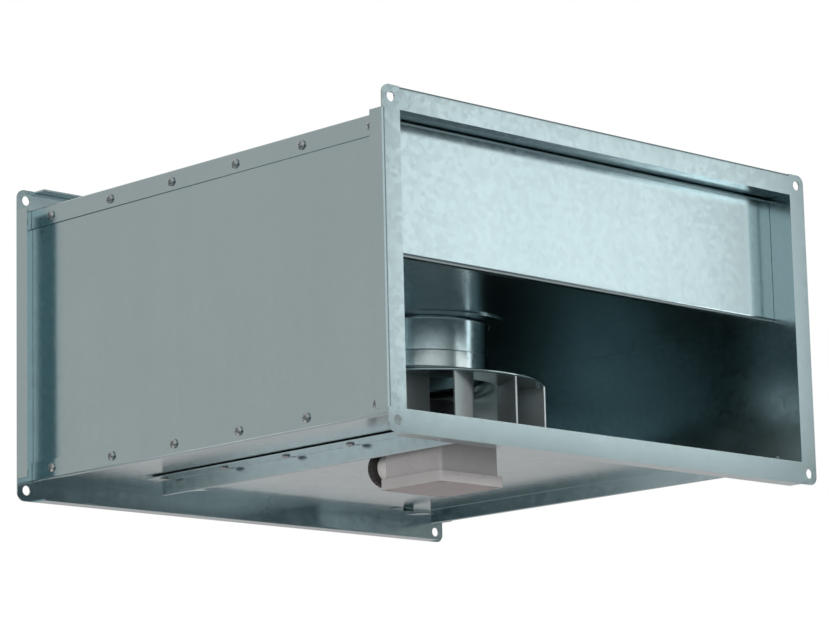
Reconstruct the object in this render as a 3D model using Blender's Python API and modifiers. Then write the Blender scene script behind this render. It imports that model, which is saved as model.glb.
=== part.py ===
"""Inline duct fan for a 500 x 250 mm rectangular duct.

A galvanised casing with two duct flanges, a stepped partition with an inlet cone, and an external rotor
motor with a backward curved impeller that stands on a service hatch in the casing's floor.
The origin is the middle of the duct. X runs across the duct, +Y against the air, and Z is up: the air
enters at +Y above the partition, turns down through the cone and leaves at -Y under the partition.
"""

import math

import bmesh
import bpy
from mathutils import Matrix, Vector

# Duct and sheet
DUCT_WIDTH = 0.500
DUCT_HEIGHT = 0.250
FAN_LENGTH = 0.490
SHEET = 0.0010
GAP = 0.0003

# Duct flanges
FLANGE_BAR = 0.020
FLANGE_SHEET = 0.0015
FLANGE_LIP_DEPTH = 0.0156
FLANGE_SLEEVE_DEPTH = 0.012
FLANGE_CORNER_RADIUS = 0.008
FLANGE_HOLE_RADIUS = 0.0045
SHEETS_OVERLAP = 0.0008

# Casing panels and their screws
PANEL_LIP_HEIGHT = 0.0183
BEND_RADIUS = 0.0015
SCREW_Y = (-0.214, -0.1284, -0.0428, 0.0428, 0.1284, 0.214)
SCREW_Z = 0.117
SCREW_HEAD_RADIUS = 0.0042
SCREW_HEAD_HEIGHT = 0.0024
SCREW_SHANK_RADIUS = 0.0019
SCREW_SHANK_LENGTH = 0.0044
SCREW_SEGMENTS = 8
HOLE_CLEARANCE = 0.0004
CUT_REACH = 0.01

# Floor opening and hatch
OPENING_HALF_WIDTH = 0.163
OPENING_FRONT = -0.213
OPENING_REAR = 0.142
GASKET_MARGIN = 0.024
GASKET_INSET = 0.004
GASKET_THICKNESS = 0.0006
HATCH_HALF_WIDTH = 0.1915
HATCH_FRONT = -0.2265
HATCH_REAR = 0.157
RIB_X = 0.1704
RIB_DEPTH = 0.0135
RIB_FOLD_GAP = 0.0006
HOOK_X = 0.143
HOOK_WIDTH = 0.013
HOOK_LINE = ((0.180, 0.0), (0.1620, 0.0), (0.1590, -0.0038), (0.1330, -0.0092))

# Partition and inlet cone
PARTITION_Z = 0.0087
PARTITION_WALL_Y = 0.2185
PARTITION_FLANGE = 0.012
PARTITION_BEND = 0.004
PARTITION_HOLE_RADIUS = 0.079
CONE_FLANGE_RADIUS = 0.0865
CONE_FLARE_RADIUS = 0.0035
CONE_NECK_RADIUS = 0.0668
CONE_END_RADIUS = 0.0660
CONE_END_Z = -0.0235

# Impeller
WHEEL_RADIUS = 0.119
SHROUD_Z = -0.051
SHROUD_COLLAR_RADIUS = 0.0667
SHROUD_COLLAR_TOP = -0.0242
SHROUD_FLARE_RADIUS = 0.013
SHROUD_RIM_RADIUS = 0.0015
FLARE_STEPS = 4
RIM_STEPS = 5
BACKPLATE_Z = -0.112
BACKPLATE_SHEET = 0.0015
BLADE_COUNT = 11
BLADE_FIRST_ANGLE = math.radians(-85.0)
BLADE_CHORD_ANGLE = math.radians(50.4)
BLADE_TURN = math.radians(32.0)
BLADE_LENGTH = 0.058
BLADE_SHEET = 0.0015
BLADE_STEPS = 6
BLADE_INSET = 0.0010
CLIP_INNER_RADIUS = 0.1115
CLIP_OUTER_RADIUS = 0.115
CLIP_HALF_WIDTH = 0.0016
CLIP_DROP = 0.0035
CLIP_ANGLE = math.radians(-56)

# Motor
ROTOR_RADIUS = 0.053
ROTOR_WALL = 0.004
ROTOR_TOP = -0.066
ROTOR_BOTTOM = -0.118
ROTOR_FLANGE_RADIUS = 0.064
ROTOR_FLANGE_SHEET = 0.0025
ROTOR_CORNER_RADIUS = 0.006
CAGE_INNER_RADIUS = 0.0410
STATOR_RADIUS = 0.0400
STATOR_TOP = -0.082
STATOR_BOTTOM = -0.108
WINDING_HEIGHT = 0.006
WINDING_INSET = 0.003
TUBE_RADIUS = 0.0150
BEARING_RADIUS = 0.0110
BEARING_HEIGHT = 0.008
SHAFT_RADIUS = 0.0060
BASE_RADIUS = 0.048
BASE_HEIGHT = 0.0065
BASE_CHAMFER = 0.002

# Terminal box under the hatch
BOX_CENTRE_X = -0.124
BOX_CENTRE_Y = -0.156
BOX_HALF_X = 0.0345
BOX_HALF_Y = 0.0340
BOX_WALL = 0.002
BOX_RIM_Z = -0.162
LID_OVERHANG = 0.003
LID_HEIGHT = 0.0068
LID_SKIRT = 0.0027
LEAD_RADIUS = 0.003
LEAD_HOLE_RADIUS = 0.006
LEAD_END_Z = -0.1418
GROMMET_LIP = 0.002
LEAD_BEND = 0.0115
LEAD_RISE = 0.050
LEAD_STEPS = 4
GLAND_X = -0.1435
GLAND_Z = -0.1485
GLAND_BODY_RADIUS = 0.0115
GLAND_NUT_RADIUS = 0.0165
GLAND_BORE_RADIUS = 0.0065
GLAND_NECK_STEP = 0.0018
GLAND_BODY_LENGTH = 0.0135
GLAND_NUT_LENGTH = 0.0105
GLAND_TAIL = 0.006
GLAND_CHAMFER = 0.0008
BLOCK_LOW_CORNER = (-0.1050, -0.1780)
BLOCK_HIGH_CORNER = (-0.0940, -0.1340)
BLOCK_HEIGHT = 0.013

# Bonding stud on the outlet flange
STUD_X = 0.213
STUD_Y = -0.2395
STUD_RADIUS = 0.0027
STUD_HEIGHT = 0.0018

ROUND = 40
INNER_ROUND = 24
SMALL_ROUND = 20

# Levels that follow from the sizes above
HALF_WIDTH = DUCT_WIDTH / 2
HALF_HEIGHT = DUCT_HEIGHT / 2
HALF_LENGTH = FAN_LENGTH / 2
PANEL_END = HALF_LENGTH - FLANGE_SHEET - GAP
SIDE_INNER_X = HALF_WIDTH + SHEET + GAP
SIDE_OUTER_X = SIDE_INNER_X + SHEET
LIP_CENTRE_X = SIDE_OUTER_X + GAP + SHEET / 2
LIP_OUTER_X = LIP_CENTRE_X + SHEET / 2
COVER_INNER_Z = HALF_HEIGHT + SHEET + GAP
COVER_CENTRE_Z = COVER_INNER_Z + SHEET / 2
COVER_OUTER_Z = COVER_INNER_Z + SHEET
HATCH_TOP_Z = -(COVER_OUTER_Z + GAP + GASKET_THICKNESS + GAP)
HATCH_CENTRE_Z = HATCH_TOP_Z - SHEET / 2
HATCH_BOTTOM_Z = HATCH_TOP_Z - SHEET
HINGE = Vector((0.0, HATCH_REAR, HATCH_CENTRE_Z))
BOX_TOP_Z = HATCH_BOTTOM_Z - GAP
BASE_BOTTOM_Z = HATCH_TOP_Z + GAP
BASE_TOP_Z = BASE_BOTTOM_Z + BASE_HEIGHT
LEAD_ENTRY = Vector((-0.1125, -0.1415))


def clear_scene():
    for item in list(bpy.data.objects):
        bpy.data.objects.remove(item, do_unlink=True)


def new_collection(name):
    group = bpy.data.collections.new(name)
    bpy.context.scene.collection.children.link(group)
    return group


def new_material(name, colour, roughness, metallic):
    material = bpy.data.materials.new(name)
    material.use_nodes = True
    shader = material.node_tree.nodes["Principled BSDF"]
    shader.inputs["Base Color"].default_value = (*colour, 1.0)
    shader.inputs["Roughness"].default_value = roughness
    shader.inputs["Metallic"].default_value = metallic
    return material


def add_object(name, bm, material, smooth=False):
    """A mesh object from bm, in the collection of parts."""
    mesh = bpy.data.meshes.new(name)
    bm.to_mesh(mesh)
    bm.free()
    if smooth:
        mesh.shade_smooth()
        mesh.set_sharp_from_angle(angle=math.radians(30))
    part = bpy.data.objects.new(name, mesh)
    PARTS.objects.link(part)
    mesh.materials.append(material)
    return part


def add_tool(name, bm):
    """A cutter or joiner, kept apart from the parts and hidden."""
    mesh = bpy.data.meshes.new(name)
    bm.to_mesh(mesh)
    bm.free()
    tool = bpy.data.objects.new(name, mesh)
    tool.hide_render = True
    tool.display_type = "WIRE"
    TOOLS.objects.link(tool)
    return tool


def apply_boolean(part, tool, operation):
    modifier = part.modifiers.new(f"{operation}_{tool.name}", "BOOLEAN")
    modifier.operation = operation
    modifier.solver = "EXACT"
    modifier.object = tool


def box(bm, low, high):
    centre = (Vector(low) + Vector(high)) / 2
    size = Vector(high) - Vector(low)
    place = Matrix.Translation(centre) @ Matrix.Diagonal((*size, 1.0))
    bmesh.ops.create_cube(bm, size=1.0, matrix=place)


def cylinder(bm, centre, axis, radius, length, segments):
    turn = Vector((0, 0, 1)).rotation_difference(Vector(axis)).to_matrix().to_4x4()
    place = Matrix.Translation(centre) @ turn
    bmesh.ops.create_cone(
        bm, cap_ends=True, segments=segments, radius1=radius, radius2=radius, depth=length, matrix=place
    )


def prism(bm, outline, low, high):
    """A flat outline in XY, counter-clockwise, raised from z low to z high."""
    face = bm.faces.new([bm.verts.new((x, y, low)) for x, y in outline])
    grown = bmesh.ops.extrude_face_region(bm, geom=[face])
    moved = [item for item in grown["geom"] if isinstance(item, bmesh.types.BMVert)]
    bmesh.ops.translate(bm, verts=moved, vec=(0, 0, high - low))
    bmesh.ops.recalc_face_normals(bm, faces=bm.faces)


def arc(centre, radius, start, end, steps):
    """Points of an arc in a plane, with its angles in degrees."""
    angles = [math.radians(start + (end - start) * k / steps) for k in range(steps + 1)]
    return [(centre[0] + radius * math.cos(a), centre[1] + radius * math.sin(a)) for a in angles]


def rounded(points, radius, steps=3):
    """An open line with each inner corner replaced by an arc of this radius."""
    result = [points[0]]
    for before, corner, after in zip(points, points[1:], points[2:]):
        back = (Vector(before) - Vector(corner)).normalized()
        ahead = (Vector(after) - Vector(corner)).normalized()
        half = back.angle(ahead) / 2
        start = Vector(corner) + back * radius / math.tan(half)
        middle = Vector(corner) + (back + ahead).normalized() * radius / math.sin(half)
        first = start - middle
        turn = (math.pi - 2 * half) * (1 if back.x * ahead.y - back.y * ahead.x < 0 else -1)
        for k in range(steps + 1):
            angle = turn * k / steps
            spun = Matrix.Rotation(angle, 2) @ first
            result.append(tuple(middle + spun))
    result.append(points[-1])
    return result


def bent_sheet(name, line, along, low, high, material, thickness=SHEET):
    """A sheet bent along a line in the plane across axis `along`, with the line down its middle."""
    bm = bmesh.new()
    place = (lambda a, b: (low, a, b)) if along == "X" else (lambda a, b: (a, low, b))
    travel = (high - low, 0, 0) if along == "X" else (0, high - low, 0)
    verts = [bm.verts.new(place(a, b)) for a, b in line]
    edges = [bm.edges.new(pair) for pair in zip(verts, verts[1:])]
    grown = bmesh.ops.extrude_edge_only(bm, edges=edges)
    moved = [item for item in grown["geom"] if isinstance(item, bmesh.types.BMVert)]
    bmesh.ops.translate(bm, verts=moved, vec=travel)
    bmesh.ops.recalc_face_normals(bm, faces=bm.faces)
    part = add_object(name, bm, material)
    solid = part.modifiers.new("sheet", "SOLIDIFY")
    solid.thickness = thickness
    solid.offset = 0.0
    solid.use_even_offset = True
    return part


def turned(name, profile, material, segments=ROUND):
    """A body turned about Z from a closed outline of (radius, height), which runs down its outer side."""
    bm = bmesh.new()
    verts = [bm.verts.new((radius, 0, height)) for radius, height in profile]
    closed = profile[0][0] > 0 or profile[-1][0] > 0
    ends = verts[1:] + verts[:1] if closed else verts[1:]
    for pair in zip(verts, ends):
        bm.edges.new(pair)
    part = add_object(name, bm, material)
    screw = part.modifiers.new("turn", "SCREW")
    screw.steps = segments
    screw.render_steps = segments
    screw.use_merge_vertices = True
    screw.merge_threshold = 0.00001
    screw.use_smooth_shade = True
    return part


def turned_mesh(bm, profile, place, segments):
    """A turned body spun straight into bm, for pieces that aren't on the Z axis."""
    verts = [bm.verts.new((radius, 0, height)) for radius, height in profile]
    closed = profile[0][0] > 0 or profile[-1][0] > 0
    ends = verts[1:] + verts[:1] if closed else verts[1:]
    edges = [bm.edges.new(pair) for pair in zip(verts, ends)]
    bmesh.ops.spin(
        bm, geom=verts + edges, cent=(0, 0, 0), axis=(0, 0, 1), angle=2 * math.pi, steps=segments
    )
    bmesh.ops.remove_doubles(bm, verts=bm.verts, dist=0.000001)
    bmesh.ops.recalc_face_normals(bm, faces=bm.faces)
    bmesh.ops.transform(bm, matrix=place, verts=bm.verts)


def facing(position, direction):
    """The matrix that stands a piece turned about Z at a position, with +Z along a direction."""
    turn = Vector((0, 0, 1)).rotation_difference(Vector(direction)).to_matrix().to_4x4()
    return Matrix.Translation(position) @ turn


def rounded_rectangle(half_x, half_y, radius, steps=4):
    corners = ((1, 1, 0), (-1, 1, 90), (-1, -1, 180), (1, -1, 270))
    points = []
    for sign_x, sign_y, start in corners:
        centre = (sign_x * (half_x - radius), sign_y * (half_y - radius))
        points += arc(centre, radius, start, start + 90, steps)
    return points


def duct_flange(name, end):
    """Flat frame with a lip folded back on each outer side and a sleeve inside the casing."""
    face = HALF_LENGTH
    back = HALF_LENGTH - FLANGE_SHEET
    outer_x = HALF_WIDTH + FLANGE_BAR
    outer_z = HALF_HEIGHT + FLANGE_BAR
    stand = Matrix.Rotation(math.radians(90), 4, "X")
    bm = bmesh.new()
    prism(bm, rounded_rectangle(outer_x, outer_z, FLANGE_CORNER_RADIUS), -face, -back)
    bmesh.ops.transform(bm, matrix=stand, verts=bm.verts)
    flange = add_object(name, bm, ZINC)

    lips = bmesh.new()
    overlap = back + SHEETS_OVERLAP
    lip_end = face - FLANGE_LIP_DEPTH
    for side in (-1, 1):
        x_pair = sorted((side * (outer_x - FLANGE_SHEET), side * outer_x))
        z_pair = sorted((side * (outer_z - FLANGE_SHEET), side * outer_z))
        box(lips, (x_pair[0], lip_end, -HALF_HEIGHT), (x_pair[1], overlap, HALF_HEIGHT))
        box(lips, (-HALF_WIDTH, lip_end, z_pair[0]), (HALF_WIDTH, overlap, z_pair[1]))
    apply_boolean(flange, add_tool(f"{name}_lips", lips), "UNION")

    sleeve = bmesh.new()
    sleeve_end = face - FLANGE_SLEEVE_DEPTH
    sleeve_x = HALF_WIDTH + SHEET
    sleeve_z = HALF_HEIGHT + SHEET
    box(sleeve, (-sleeve_x, sleeve_end, -sleeve_z), (sleeve_x, overlap, sleeve_z))
    apply_boolean(flange, add_tool(f"{name}_sleeve", sleeve), "UNION")

    opening = bmesh.new()
    box(
        opening,
        (-HALF_WIDTH, sleeve_end - CUT_REACH, -HALF_HEIGHT),
        (HALF_WIDTH, face + CUT_REACH, HALF_HEIGHT),
    )
    apply_boolean(flange, add_tool(f"{name}_opening", opening), "DIFFERENCE")

    holes = bmesh.new()
    for side_x in (-1, 1):
        for side_z in (-1, 1):
            middle = (side_x * (outer_x - FLANGE_BAR / 2), face, side_z * (outer_z - FLANGE_BAR / 2))
            cylinder(holes, middle, (0, 1, 0), FLANGE_HOLE_RADIUS, CUT_REACH, SMALL_ROUND)
    apply_boolean(flange, add_tool(f"{name}_holes", holes), "DIFFERENCE")

    if end < 0:
        turn = Matrix.Rotation(math.pi, 4, "Z")
        for piece in (flange, *(m.object for m in flange.modifiers)):
            piece.data.transform(turn)
    return flange


def screw_holes(name, side_z):
    """One cutter with every screw hole on a height, through both side walls."""
    bm = bmesh.new()
    radius = SCREW_SHANK_RADIUS + HOLE_CLEARANCE
    for side_x in (-1, 1):
        for y in SCREW_Y:
            middle = (side_x * SIDE_OUTER_X, y, side_z * SCREW_Z)
            cylinder(bm, middle, (1, 0, 0), radius, CUT_REACH, SCREW_SEGMENTS)
    return add_tool(name, bm)


def cover_panel(name, side):
    """Top or bottom of the casing, with lips that reach over the side panels."""
    lip_end = side * (COVER_OUTER_Z - PANEL_LIP_HEIGHT)
    level = side * COVER_CENTRE_Z
    line = [(-LIP_CENTRE_X, lip_end), (-LIP_CENTRE_X, level), (LIP_CENTRE_X, level), (LIP_CENTRE_X, lip_end)]
    return bent_sheet(name, rounded(line, BEND_RADIUS), "Y", -PANEL_END, PANEL_END, ZINC)


def casing():
    upper_holes = screw_holes("upper_screw_holes", 1)
    lower_holes = screw_holes("lower_screw_holes", -1)
    for name, side in (("left_side_panel", -1), ("right_side_panel", 1)):
        bm = bmesh.new()
        low_x, high_x = sorted((side * SIDE_INNER_X, side * SIDE_OUTER_X))
        edge = COVER_INNER_Z - BEND_RADIUS / 2
        box(bm, (low_x, -PANEL_END, -edge), (high_x, PANEL_END, edge))
        panel = add_object(name, bm, ZINC)
        apply_boolean(panel, upper_holes, "DIFFERENCE")
        apply_boolean(panel, lower_holes, "DIFFERENCE")

    top = cover_panel("top_panel", 1)
    apply_boolean(top, upper_holes, "DIFFERENCE")

    bottom = cover_panel("bottom_panel", -1)
    apply_boolean(bottom, lower_holes, "DIFFERENCE")
    opening = bmesh.new()
    box(
        opening,
        (-OPENING_HALF_WIDTH, OPENING_FRONT, -COVER_OUTER_Z - CUT_REACH),
        (OPENING_HALF_WIDTH, OPENING_REAR, -COVER_INNER_Z + CUT_REACH),
    )
    apply_boolean(bottom, add_tool("floor_opening", opening), "DIFFERENCE")

    duct_flange("outlet_flange", -1)
    duct_flange("inlet_flange", 1)


def side_screws():
    """Pan head screws along the four seams of the casing."""
    top = SCREW_HEAD_HEIGHT
    profile = [
        (0.0, top),
        (SCREW_HEAD_RADIUS * 0.62, top),
        (SCREW_HEAD_RADIUS, top * 0.45),
        (SCREW_HEAD_RADIUS, 0.0),
        (SCREW_SHANK_RADIUS, 0.0),
        (SCREW_SHANK_RADIUS, -SCREW_SHANK_LENGTH),
        (0.0, -SCREW_SHANK_LENGTH),
    ]
    rows = (("left_top", -1, 1), ("left_bottom", -1, -1), ("right_top", 1, 1), ("right_bottom", 1, -1))
    for row, side_x, side_z in rows:
        for number, y in enumerate(SCREW_Y, start=1):
            seat = (side_x * (LIP_OUTER_X + GAP), y, side_z * SCREW_Z)
            bm = bmesh.new()
            turned_mesh(bm, profile, facing(seat, (side_x, 0, 0)), SCREW_SEGMENTS)
            add_object(f"screw_{row}_{number}", bm, SCREW_STEEL, smooth=True)


def partition():
    """One sheet: front wall above, plate at mid height, rear wall below."""
    wall = PARTITION_WALL_Y
    edge = COVER_INNER_Z - GAP - SHEET / 2
    line = [
        (-wall + PARTITION_FLANGE, edge),
        (-wall, edge),
        (-wall, PARTITION_Z),
        (wall, PARTITION_Z),
        (wall, -edge),
        (wall - PARTITION_FLANGE, -edge),
    ]
    width = SIDE_INNER_X - GAP
    sheet = bent_sheet("partition", rounded(line, PARTITION_BEND), "X", -width, width, ZINC)
    hole = bmesh.new()
    cylinder(hole, (0, 0, PARTITION_Z), (0, 0, 1), PARTITION_HOLE_RADIUS, CUT_REACH, ROUND)
    apply_boolean(sheet, add_tool("partition_hole", hole), "DIFFERENCE")


def inlet_cone():
    """Flange under the partition that flares into a neck."""
    level = PARTITION_Z - SHEET - GAP
    centre = (CONE_NECK_RADIUS + CONE_FLARE_RADIUS, level - CONE_FLARE_RADIUS)
    half = SHEET / 2
    outline = [
        (CONE_FLANGE_RADIUS, level + half),
        (CONE_FLANGE_RADIUS, level - half),
        *arc(centre, CONE_FLARE_RADIUS - half, 90, 180, FLARE_STEPS),
        (CONE_END_RADIUS + half, CONE_END_Z),
        (CONE_END_RADIUS - half, CONE_END_Z),
        *arc(centre, CONE_FLARE_RADIUS + half, 180, 90, FLARE_STEPS),
    ]
    turned("inlet_cone", outline, ZINC)


def blade_outline(start_angle):
    """One curved blade as a closed outline, from its outer edge inwards."""
    point = Vector((WHEEL_RADIUS - BLADE_INSET, 0)) @ Matrix.Rotation(-start_angle, 2)
    heading = start_angle + math.pi - BLADE_CHORD_ANGLE
    step = BLADE_LENGTH / BLADE_STEPS
    left, right = [], []
    for k in range(BLADE_STEPS + 1):
        direction = heading + BLADE_TURN * k / BLADE_STEPS
        normal = Vector((-math.sin(direction), math.cos(direction))) * BLADE_SHEET / 2
        left.append(tuple(point + normal))
        right.append(tuple(point - normal))
        middle = direction + BLADE_TURN / BLADE_STEPS / 2
        point = point + Vector((math.cos(middle), math.sin(middle))) * step
    return right + list(reversed(left))


def impeller():
    back_low = BACKPLATE_Z - BACKPLATE_SHEET
    hub_hole = ROTOR_RADIUS + GAP
    plate = [
        (WHEEL_RADIUS, BACKPLATE_Z),
        (WHEEL_RADIUS, back_low),
        (hub_hole, back_low),
        (hub_hole, BACKPLATE_Z),
    ]
    wheel = turned("impeller_wheel", plate, BRIGHT)
    blades = bmesh.new()
    blade_top = SHROUD_Z - SHROUD_RIM_RADIUS - GAP
    for number in range(BLADE_COUNT):
        angle = BLADE_FIRST_ANGLE + 2 * math.pi * number / BLADE_COUNT
        prism(blades, blade_outline(angle), BACKPLATE_Z - SHEETS_OVERLAP, blade_top)
    apply_boolean(wheel, add_tool("blades", blades), "UNION")

    centre = (SHROUD_COLLAR_RADIUS + SHROUD_FLARE_RADIUS, SHROUD_Z + SHROUD_FLARE_RADIUS)
    half = SHEET / 2
    shroud = [
        (SHROUD_COLLAR_RADIUS + half, SHROUD_COLLAR_TOP),
        *arc(centre, SHROUD_FLARE_RADIUS - half, 180, 270, FLARE_STEPS),
        *arc((WHEEL_RADIUS - SHROUD_RIM_RADIUS, SHROUD_Z), SHROUD_RIM_RADIUS, 160, -160, RIM_STEPS),
        *arc(centre, SHROUD_FLARE_RADIUS + half, 270, 180, FLARE_STEPS),
        (SHROUD_COLLAR_RADIUS - half, SHROUD_COLLAR_TOP),
    ]
    turned("impeller_shroud", shroud, BRIGHT)

    clip = bmesh.new()
    box(
        clip,
        (CLIP_INNER_RADIUS, -CLIP_HALF_WIDTH, SHROUD_Z - CLIP_DROP),
        (CLIP_OUTER_RADIUS, CLIP_HALF_WIDTH, SHROUD_Z - SHEET / 2 - GAP),
    )
    place = Matrix.Rotation(CLIP_ANGLE, 4, "Z")
    bmesh.ops.transform(clip, matrix=place, verts=clip.verts)
    add_object("balance_clip", clip, BRIGHT)


def ring(name, inner, outer, low, high, material, segments=ROUND):
    return turned(name, [(outer, high), (outer, low), (inner, low), (inner, high)], material, segments)


def motor():
    """External rotor motor: the base, stator and bearings stand still and the can turns round them."""
    flange_top = BACKPLATE_Z - BACKPLATE_SHEET - GAP
    flange_low = flange_top - ROTOR_FLANGE_SHEET
    corner = ROTOR_CORNER_RADIUS
    inner = ROTOR_RADIUS - ROTOR_WALL
    can = [
        (0.0, ROTOR_TOP),
        *arc((ROTOR_RADIUS - corner, ROTOR_TOP - corner), corner, 90, 0, 3),
        (ROTOR_RADIUS, flange_top),
        (ROTOR_FLANGE_RADIUS, flange_top),
        (ROTOR_FLANGE_RADIUS, flange_low),
        (ROTOR_RADIUS, flange_low),
        (ROTOR_RADIUS, ROTOR_BOTTOM),
        (inner, ROTOR_BOTTOM),
        (inner, ROTOR_TOP - ROTOR_WALL),
        (0.0, ROTOR_TOP - ROTOR_WALL),
    ]
    turned("rotor_can", can, ROTOR_PAINT)
    ring("rotor_cage", CAGE_INNER_RADIUS, inner - 2 * GAP, STATOR_BOTTOM, STATOR_TOP, CAST_METAL, INNER_ROUND)

    base = [
        (TUBE_RADIUS, STATOR_TOP),
        (TUBE_RADIUS, BASE_TOP_Z),
        (BASE_RADIUS - BASE_CHAMFER, BASE_TOP_Z),
        (BASE_RADIUS, BASE_TOP_Z - BASE_CHAMFER),
        (BASE_RADIUS, BASE_BOTTOM_Z),
        (BEARING_RADIUS + GAP, BASE_BOTTOM_Z),
        (BEARING_RADIUS + GAP, STATOR_TOP),
    ]
    turned("motor_base", base, CAST_METAL)
    core_inner = TUBE_RADIUS + 2 * GAP
    ring("stator_core", core_inner, STATOR_RADIUS, STATOR_BOTTOM, STATOR_TOP, CAST_METAL, INNER_ROUND)
    winding_inner = TUBE_RADIUS + WINDING_INSET
    winding_outer = STATOR_RADIUS - WINDING_INSET
    upper = STATOR_TOP + GAP
    lower = STATOR_BOTTOM - GAP
    ring("winding_upper", winding_inner, winding_outer, upper, upper + WINDING_HEIGHT, COPPER, INNER_ROUND)
    ring("winding_lower", winding_inner, winding_outer, lower - WINDING_HEIGHT, lower, COPPER, INNER_ROUND)
    bearing_inner = SHAFT_RADIUS + GAP
    first = STATOR_TOP - BASE_CHAMFER
    second = BASE_TOP_Z + BEARING_HEIGHT / 2
    for name, top in (("bearing_upper", first), ("bearing_lower", second)):
        ring(name, bearing_inner, BEARING_RADIUS, top - BEARING_HEIGHT, top, BEARING_STEEL, SMALL_ROUND)
    shaft = bmesh.new()
    shaft_top = ROTOR_TOP - ROTOR_WALL - GAP
    shaft_low = BASE_BOTTOM_Z + BASE_CHAMFER
    middle = (0, 0, (shaft_top + shaft_low) / 2)
    cylinder(shaft, middle, (0, 0, 1), SHAFT_RADIUS, shaft_top - shaft_low, SMALL_ROUND)
    add_object("motor_shaft", shaft, BEARING_STEEL, smooth=True)


def hatch():
    """Service hatch: a sheet with a folded rib on each side, its gasket, and the hooks at its rear edge."""
    fold_x = (RIB_X + SHEET / 2 + RIB_FOLD_GAP / 2, RIB_X - SHEET / 2 - RIB_FOLD_GAP / 2)
    low = HATCH_CENTRE_Z - RIB_DEPTH
    level = HATCH_CENTRE_Z
    fold = [(fold_x[0], level), (fold_x[0], low), (fold_x[1], low), (fold_x[1], level)]
    half = [(HATCH_HALF_WIDTH, level), *fold]
    line = [(-x, z) for x, z in half] + list(reversed(half))
    panel = bent_sheet("hatch_panel", line, "Y", HATCH_FRONT, HATCH_REAR, ZINC)
    hole = bmesh.new()
    cylinder(hole, (*LEAD_ENTRY, level), (0, 0, 1), LEAD_HOLE_RADIUS, CUT_REACH, SMALL_ROUND)
    apply_boolean(panel, add_tool("hatch_lead_hole", hole), "DIFFERENCE")

    seal_top = -COVER_OUTER_Z - GAP
    seal = bmesh.new()
    edge_x = OPENING_HALF_WIDTH + GASKET_MARGIN
    front = HATCH_FRONT + GASKET_INSET
    rear = HATCH_REAR - GASKET_INSET
    box(seal, (-edge_x, front, seal_top - GASKET_THICKNESS), (edge_x, rear, seal_top))
    gasket = add_object("hatch_gasket", seal, RUBBER)
    window = bmesh.new()
    box(
        window,
        (-OPENING_HALF_WIDTH, OPENING_FRONT, seal_top - CUT_REACH),
        (OPENING_HALF_WIDTH, OPENING_REAR, seal_top + CUT_REACH),
    )
    apply_boolean(gasket, add_tool("gasket_window", window), "DIFFERENCE")

    foot = -COVER_OUTER_Z - GAP - SHEET / 2
    tongue = [(y, foot + drop) for y, drop in HOOK_LINE]
    for name, side in (("hatch_hook_left", -1), ("hatch_hook_right", 1)):
        low_x = side * HOOK_X - HOOK_WIDTH / 2
        bent_sheet(name, rounded(tongue, 0.001, 2), "X", low_x, low_x + HOOK_WIDTH, ZINC)


def motor_lead():
    """The motor's own lead, which runs from the base along the hatch and down into the terminal box."""
    outward = LEAD_ENTRY.normalized()
    run_z = HATCH_TOP_Z + LEAD_RADIUS + GAP
    crest_z = HATCH_TOP_Z + LEAD_BEND
    crest = LEAD_ENTRY.length - LEAD_BEND
    route = [(BASE_RADIUS + GAP, run_z), (crest - LEAD_RISE, run_z)]
    for k in range(1, LEAD_STEPS + 1):
        share = k / LEAD_STEPS
        lift = (1 - math.cos(math.pi * share)) / 2
        route.append((crest - LEAD_RISE * (1 - share), run_z + (crest_z - run_z) * lift))
    route += arc((crest, crest_z - LEAD_BEND), LEAD_BEND, 90, 0, LEAD_STEPS)[1:]
    route.append((LEAD_ENTRY.length, LEAD_END_Z))
    points = [(*(outward * distance), height) for distance, height in route]
    curve = bpy.data.curves.new("motor_lead", "CURVE")
    curve.dimensions = "3D"
    curve.bevel_depth = LEAD_RADIUS
    curve.bevel_resolution = 2
    curve.use_fill_caps = True
    spline = curve.splines.new("POLY")
    spline.points.add(len(points) - 1)
    for knot, place in zip(spline.points, points):
        knot.co = (*place, 1.0)
    lead = bpy.data.objects.new("motor_lead", curve)
    curve.materials.append(CABLE)
    PARTS.objects.link(lead)


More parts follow.
